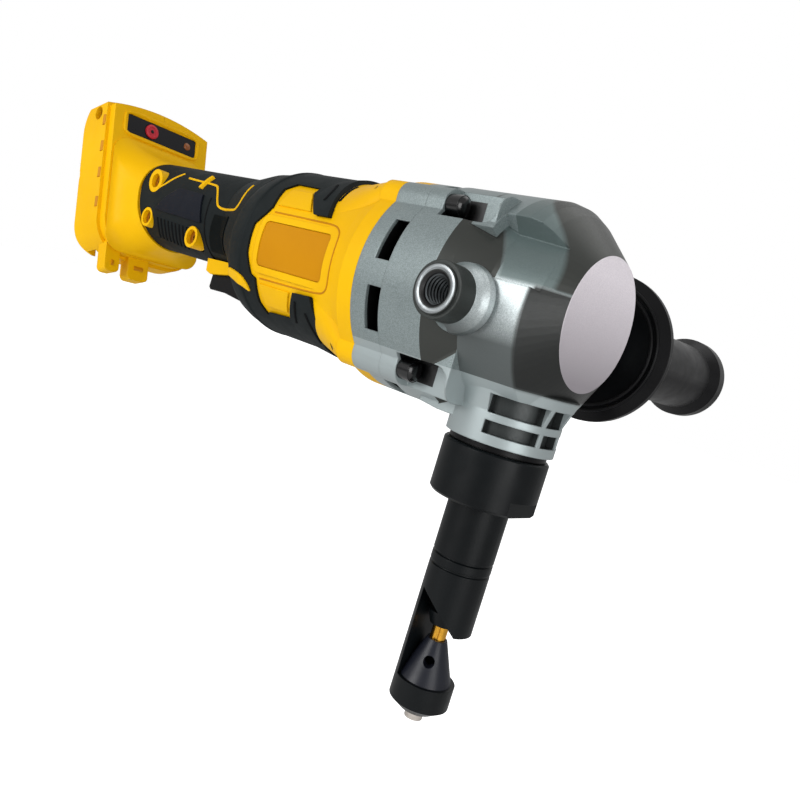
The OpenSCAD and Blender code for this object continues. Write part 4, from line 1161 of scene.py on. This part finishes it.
@dataclass
class Grip(SubAssembly):
    """The soft grip with its trims, ribs and panels, and the trigger."""

    rib_count: int = 9

    def build(self) -> None:
        """Dresses the grip and adds what is moulded on it."""
        self.shop.dress(
            rubber="grip_sleeve_right grip_sleeve_left neck_ring", black="trigger trigger_switch",
            steel="trigger_pin trigger_spring", lead="motor_leads",
        )
        skin = joined_skin("grip_sleeve_left", "neck_ring")
        flip(skin)
        self.neck_band()
        self.trims(skin)
        self.ribs(skin)
        self.panels(skin)
        drop(skin)

    def neck_band(self) -> None:
        """Adds the soft lip that runs from the neck up to the pads of the barrel."""
        profile = [(27.8, -82.4), (29.4, -81.6), (31.6, -79.0), (32.5, -76.0), (33.2, -72.5), (33.95, -69.4),
                   (33.95, -68.2), (33.6, -67.7), (31.0, -67.7), (29.0, -78.0)]
        self.turn("neck_band", profile, self.view.at(0, self.view.barrel_lift), X_AXIS, "rubber", steps=96)

    def trims(self, skin: bpy.types.Object) -> None:
        """Adds the yellow seam, its clip bar and the spout of the upper boss."""
        seam = [(-146.2, 21.6), (-134.4, 21), (-126.7, 20.8), (-119.4, 20.3), (-115.2, 16.9), (-110.8, 11.5),
                (-106.8, 10.6), (-91.3, 10.9), (-89.3, 14), (-90.4, 20.6), (-89.9, 23.2)]
        self.beads(skin, {"seam_trim": seam}, 0.62, "yellow")
        self.beads(skin, {"clip_bar": [(-129.4, 16.9), (-129.1, 20.5), (-129.0, 24.4)]}, 1.5, "yellow")
        spout = [(-162.5, 13.6), (-158, 16.5), (-154.5, 20.5), (-151, 23.9)]
        self.beads(skin, {"boss_spout": spout}, 0.6, "yellow")

    def ribs(self, skin: bpy.types.Object) -> None:
        """Adds the row of curved ribs."""
        lines = {}
        for index in range(self.rib_count):
            share = index / (self.rib_count - 1)
            top = (-157 + 25.5 * share, 1.4 - 1.1 * share)
            foot = (-160 + 22.5 * share, -8.7 - 1.6 * share)
            bulge = ((top[0] + foot[0]) / 2 + 1.2, (top[1] + foot[1]) / 2)
            lines[f"grip_rib_{index + 1}"] = [top, bulge, foot]
        self.beads(skin, lines, 0.55, "ridge", 0.1)

    def panels(self, skin: bpy.types.Object) -> None:
        """Adds the raised thumb panel, the inset panel and the crease line."""
        thumb = [(-159.1, 3.9), (-147.1, 3.6), (-119.7, 2.3), (-123.6, 14.8), (-143.8, 15.6), (-152.3, 10.1)]
        self.plates(skin, {"thumb_panel": thumb}, 0.9, "thumb")
        inset = [(-114.9, -7.3), (-103.6, -7.5), (-98.8, 0.5), (-96.2, 7.8), (-110.6, 7.6)]
        self.plates(skin, {"side_inset": inset}, 0.4, "inset")
        groove = [(-117.6, 15.5), (-117.4, 8), (-117.3, 0), (-117.6, -8), (-118, -11)]
        self.beads(skin, {"grip_crease": groove}, 0.5, "ridge", 0.15)


@dataclass
class MotorHousing(SubAssembly):
    """The yellow barrel with its soft pads, tabs and bare plate."""

    def build(self) -> None:
        """Dresses the barrel and adds its raised details."""
        self.shop.dress(yellow="motor_housing", rubber="housing_pads", label="label_plate")
        skin = joined_skin("motor_housing", "housing_pads", "neck_ring", dressing=["neck_band"])
        sweep = [(-77.5, -11.9), (-73.0, -12.2), (-69.0, -12.9), (-66.0, -14.3), (-64.0, -16.0),
                 (-62.9, -18.3), (-77.5, -14.8)]
        self.plates(skin, {"trigger_sweep": sweep}, 0.7, "yellow", 0.3)
        tabs = {
            "upper_tab": [(-57.4, 15.2), (-38.2, 15.2), (-44.6, 22.4), (-57.0, 22.4)],
            "lower_tab": [(-57.2, -14.4), (-38.8, -14.4), (-42.6, -21.6), (-55.5, -21.6)],
        }
        self.plates(skin, tabs, 0.55, "yellow")
        ridges = {
            "pad_ridge_a": [(-34.7, 20.4), (-34.9, 22.3), (-36.1, 25.6), (-39, 28.5)],
            "pad_ridge_b": [(-27.9, 20.9), (-28.5, 24.4), (-31.5, 29.9)],
            "pad_ridge_c": [(-33.9, -16.6), (-35.8, -20.9), (-38.1, -25.2)],
            "pad_ridge_d": [(-28.8, -19.6), (-27.9, -23.3), (-26.6, -27.1), (-26.6, -29.3)],
        }
        self.beads(skin, ridges, 0.6, "ridge", 0.1)
        # The frame line is drawn in darker yellow: painted shade
        frame_line = [(-59.9, 12.6), (-40, 12.6), (-20.3, 12.3), (-15.6, 9.6), (-15.2, -9.4), (-19, -12),
                      (-40, -12.6), (-59.8, -12.8)]
        self.beads(skin, {"frame_line_a": frame_line}, 0.35, "orange", 0.05)
        drop(skin)


@dataclass
class GearHead(SubAssembly):
    """The painted gearbox with its bosses, screws and vent ring.

    Attributes:
        boss_reach: Distance of a boss's mouth from the middle plane.
        thread_r: Inner radius of the thread.
        screw_head: Radius of a screw's head.
    """

    boss_reach: float = 47.7
    thread_r: float = 4.5
    thread_pitch: float = 1.5
    thread_turns: int = 8
    screw_head: float = 3.6

    def build(self) -> None:
        """Dresses the head and adds the boss rings, fillets, a black ring of painted shade in the neck gap,
        thread and screw domes.
        """
        self.shop.dress(
            casting="vent_ring gearbox_housing ram_sleeve", lacquer="gearbox_screws", void="bearing_plate",
        )
        for side in Side:
            self.boss(side)
        self.neck_gap_shade()
        self.thread(Side.RIGHT)
        self.screw_domes()

    def boss(self, side: Side) -> None:
        """Adds the bright machined mouth of a boss and the cast fillet at its root."""
        axis = Y_AXIS * side.value
        inner = self.thread_r + 0.95
        mouth = [(inner, -0.3), (7.1, -0.3), (7.1, 0.0), (6.9, 0.1), (inner + 0.3, 0.1), (inner, -0.1)]
        centre = self.view.at(*self.view.boss, side.value * self.boss_reach)
        self.turn(f"boss_ring_{side.name.lower()}", mouth, centre, axis, "ring")
        root = [(8.3, 33.0), (10.9, 33.0), (10.6, 35.4), (9.5, 36.6), (8.9, 37.9), (8.6, 39.5), (8.3, 39.5)]
        centre = self.view.at(*self.view.boss)
        self.turn(f"boss_root_{side.name.lower()}", root, centre, axis, "casting", steps=96)

    def neck_gap_shade(self) -> None:
        """Adds a black ring in the gap between the neck and the lock nut: painted shade in the gap."""
        low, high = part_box("ram_sleeve")
        nut_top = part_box("lock_nut")[1].z
        inner = (high.y - low.y) / 2 / MM + 0.1
        gap = (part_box("gearbox_housing")[0].z - nut_top) / MM
        profile = [(inner, 0.25), (inner + 1.4, 0.25), (inner + 1.4, gap - 0.15), (inner, gap - 0.15)]
        centre = Vector(((low.x + high.x) / 2, 0, nut_top))
        self.turn("neck_gap_shade", profile, centre, Z_AXIS, "black", steps=96)

    def screw_domes(self) -> None:
        """Adds the rounded lacquered faces of the four corner screws."""
        low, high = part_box("gearbox_screws")
        head = self.screw_head
        reach_y, reach_z = high.y - head * MM, (high.z - low.z) / 2 - head * MM
        profile = [(0, -0.6), (head - 0.3, -0.6), (head - 0.25, 0.0), (head - 0.8, 0.6), (head - 1.9, 1.0),
                   (0, 1.2)]
        for number, (side_y, side_z) in enumerate([(1, 1), (1, -1), (-1, 1), (-1, -1)], 1):
            centre = Vector((high.x, side_y * reach_y, self.view.axis_z + side_z * reach_z))
            self.turn(f"screw_dome_{number}", profile, centre, X_AXIS, "lacquer", steps=32)

    def thread(self, side: Side) -> None:
        """Adds the turns of thread inside a boss."""
        axis = self.view.at(*self.view.boss)
        pick()
        bpy.ops.mesh.primitive_circle_add(vertices=3, radius=0.55 * MM, fill_type="NGON", location=axis)
        turns = bpy.context.object
        edit(turns)
        bpy.ops.transform.rotate(value=math.radians(30), orient_axis="Z", center_override=axis)
        start = side.value * (self.boss_reach - 1.0 - self.thread_turns * self.thread_pitch)
        bpy.ops.transform.translate(value=((self.thread_r + 0.05) * MM, start * MM, 0))
        leave_edit()
        screw = turns.modifiers.new("Thread", "SCREW")
        screw.axis = "Y"
        screw.screw_offset = side.value * self.thread_pitch * MM
        screw.iterations = self.thread_turns
        screw.steps = 36
        screw.render_steps = 36
        apply_modifiers(turns)
        apply_place(turns)
        tidy_mesh(turns)
        add_piece(turns, f"boss_thread_{side.name.lower()}", "housing", self.shop["thread"])


@dataclass
class ToolClamp(SubAssembly):
    """The lock nut, the die holder tube, the die and the punch."""

    throat: float = 5.0

    def build(self) -> None:
        """Dresses the clamp and adds the guide of the punch over the throat."""
        self.shop.dress(satin="lock_nut die_holder", die="die", gold="punch", pin="die_screw", steel="ram")
        tip = Vector((0, 0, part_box("die")[1].z + self.throat * MM))
        profile = [(3.0, 0.3), (4.3, 0.3), (5.0, 2.0), (6.1, 5.0), (3.0, 5.0)]
        self.turn("punch_guide", profile, tip, Z_AXIS, "satin", "die_unit", 48)


@dataclass
class SideHandle(SubAssembly):
    """The side handle with its guard disc.

    Attributes:
        disc_face: Distance of the disc's face from the middle plane.
        ridges: Radii of the ridges on the disc.
    """

    disc_face: float = 52.2
    ridges: tuple[float, float] = (24.6, 22.4)

    def build(self) -> None:
        """Dresses the handle and adds the ridges of its disc."""
        self.shop.dress(black="side_handle", steel="handle_stud")
        front = self.disc_face
        for radius in self.ridges:
            profile = [(radius - 0.6, front + 0.2), (radius - 0.6, front - 0.4), (radius, front - 0.8),
                       (radius + 0.6, front - 0.4), (radius + 0.6, front + 0.2)]
            centre = self.view.at(*self.view.boss)
            self.turn(f"guard_ridge_{round(radius)}", profile, centre, Y_AXIS, "black", "handle", 96)


@dataclass
class Inside(SubAssembly):
    """The motor, the gears and the bearings."""

    def build(self) -> None:
        """Dresses what lies inside."""
        self.shop.dress(
            stack="stator_core rotor_core", copper="stator_coils", black="cooling_fan",
            steel="rotor_shaft motor_pinion rear_motor_bearing front_motor_bearing crankshaft drive_gear "
            "crank_rear_bearing crank_front_bearing connecting_rod",
        )


# Stage, lights and camera


@dataclass
class Studio:
    """White floor and world, soft lamps and the camera of the photograph.

    Attributes:
        room_light: Strength of the world where it only lights.
        mirrored_light: Strength of the world in reflections.
        aim: The point that the lamps look at.
    """

    floor_z: float = -0.3
    floor_size: float = 12.0
    room_light: float = 0.33
    mirrored_light: float = 0.6
    aim: tuple[float, float, float] = (-0.08, 0.0, 0.05)
    camera_place: tuple[float, float, float] = (0.13538, -0.21658, 0.06031)
    camera_right: tuple[float, float, float] = (0.7160, 0.6375, 0.2845)
    camera_down: tuple[float, float, float] = (0.2836, 0.1067, -0.9530)
    camera_forward: tuple[float, float, float] = (-0.6379, 0.7630, -0.1044)
    lens: float = 34.98

    def build(self) -> None:
        """Builds the stage, the lamps and the camera."""
        self.world()
        self.floor()
        self.lamps()
        self.camera()

    def world(self) -> None:
        """Makes a world that is white to the eye and lights softly."""
        world = bpy.data.worlds.new("plain_room")
        bpy.context.scene.world = world
        world.use_nodes = True
        sketch = NodeSketch(world.node_tree)
        background = world.node_tree.nodes["Background"]
        background.inputs["Color"].default_value = (1, 1, 1, 1)
        path = sketch.add("ShaderNodeLightPath").outputs
        seen = sketch.math("MAXIMUM", path["Is Camera Ray"], path["Is Transmission Ray"])
        seen = seen | sketch.math("MULTIPLY", path["Is Glossy Ray"], self.mirrored_light)
        sketch.feed(background.inputs["Strength"], seen | self.room_light)

    def floor(self) -> None:
        """Makes the pale floor far below the tool."""
        pick()
        bpy.ops.mesh.primitive_grid_add(x_subdivisions=4, y_subdivisions=4, size=self.floor_size)
        floor = bpy.context.object
        floor.name = "studio_floor"
        floor.location.z = self.floor_z
        apply_place(floor)
        shader = Shader("pale_floor")
        shader.main.inputs["Base Color"].default_value = (0.9, 0.9, 0.9, 1)
        shader.main.inputs["Emission Color"].default_value = (1, 1, 1, 1)
        seen = shader.add("ShaderNodeLightPath").outputs["Is Camera Ray"]
        shader.settle(Roughness=0.9, Emission_Strength=seen)
        floor.data.materials.append(shader.material)

    def lamps(self) -> None:
        """Adds the soft lamps."""
        lamps = {
            "key_lamp": ((-0.35, -1.15, 0.4), 9.5, 0.7),
            "fill_lamp": ((1.1, -0.45, 0.15), 6.0, 0.7),
            "top_lamp": ((0.1, 0.5, 1.1), 2.0, 0.8),
        }
        for name, (place, power, size) in lamps.items():
            pick()
            bpy.ops.object.light_add(type="AREA", location=place)
            lamp = bpy.context.object
            lamp.name = name
            lamp.data.energy = power
            lamp.data.size = size
            way = Vector(self.aim) - Vector(place)
            lamp.rotation_euler = way.to_track_quat("-Z", "Y").to_euler()

    def camera(self) -> None:
        """Adds the camera of the photograph."""
        pick()
        bpy.ops.object.camera_add(location=self.camera_place)
        camera = bpy.context.object
        camera.name = "photo_camera"
        right, up = Vector(self.camera_right), -Vector(self.camera_down)
        back = -Vector(self.camera_forward)
        turn = Matrix((right, up, back)).transposed()
        camera.matrix_world = Matrix.Translation(Vector(self.camera_place)) @ turn.to_4x4()
        camera.data.sensor_width = 36
        camera.data.lens = self.lens
        camera.data.clip_start = 0.01
        bpy.context.scene.camera = camera


def main() -> None:
    """Builds the studio and every sub-assembly."""
    logging.basicConfig(level=logging.INFO, format="%(message)s")
    bpy.context.scene.view_settings.view_transform = "Standard"
    Studio().build()
    view = SideView()
    shop = Workshop(view)
    BatteryFoot(view, shop, FootView(view)).build()
    for part in (Grip, MotorHousing, GearHead, ToolClamp, SideHandle, Inside):
        part(view, shop).build()


if __name__ == "__main__":
    main()
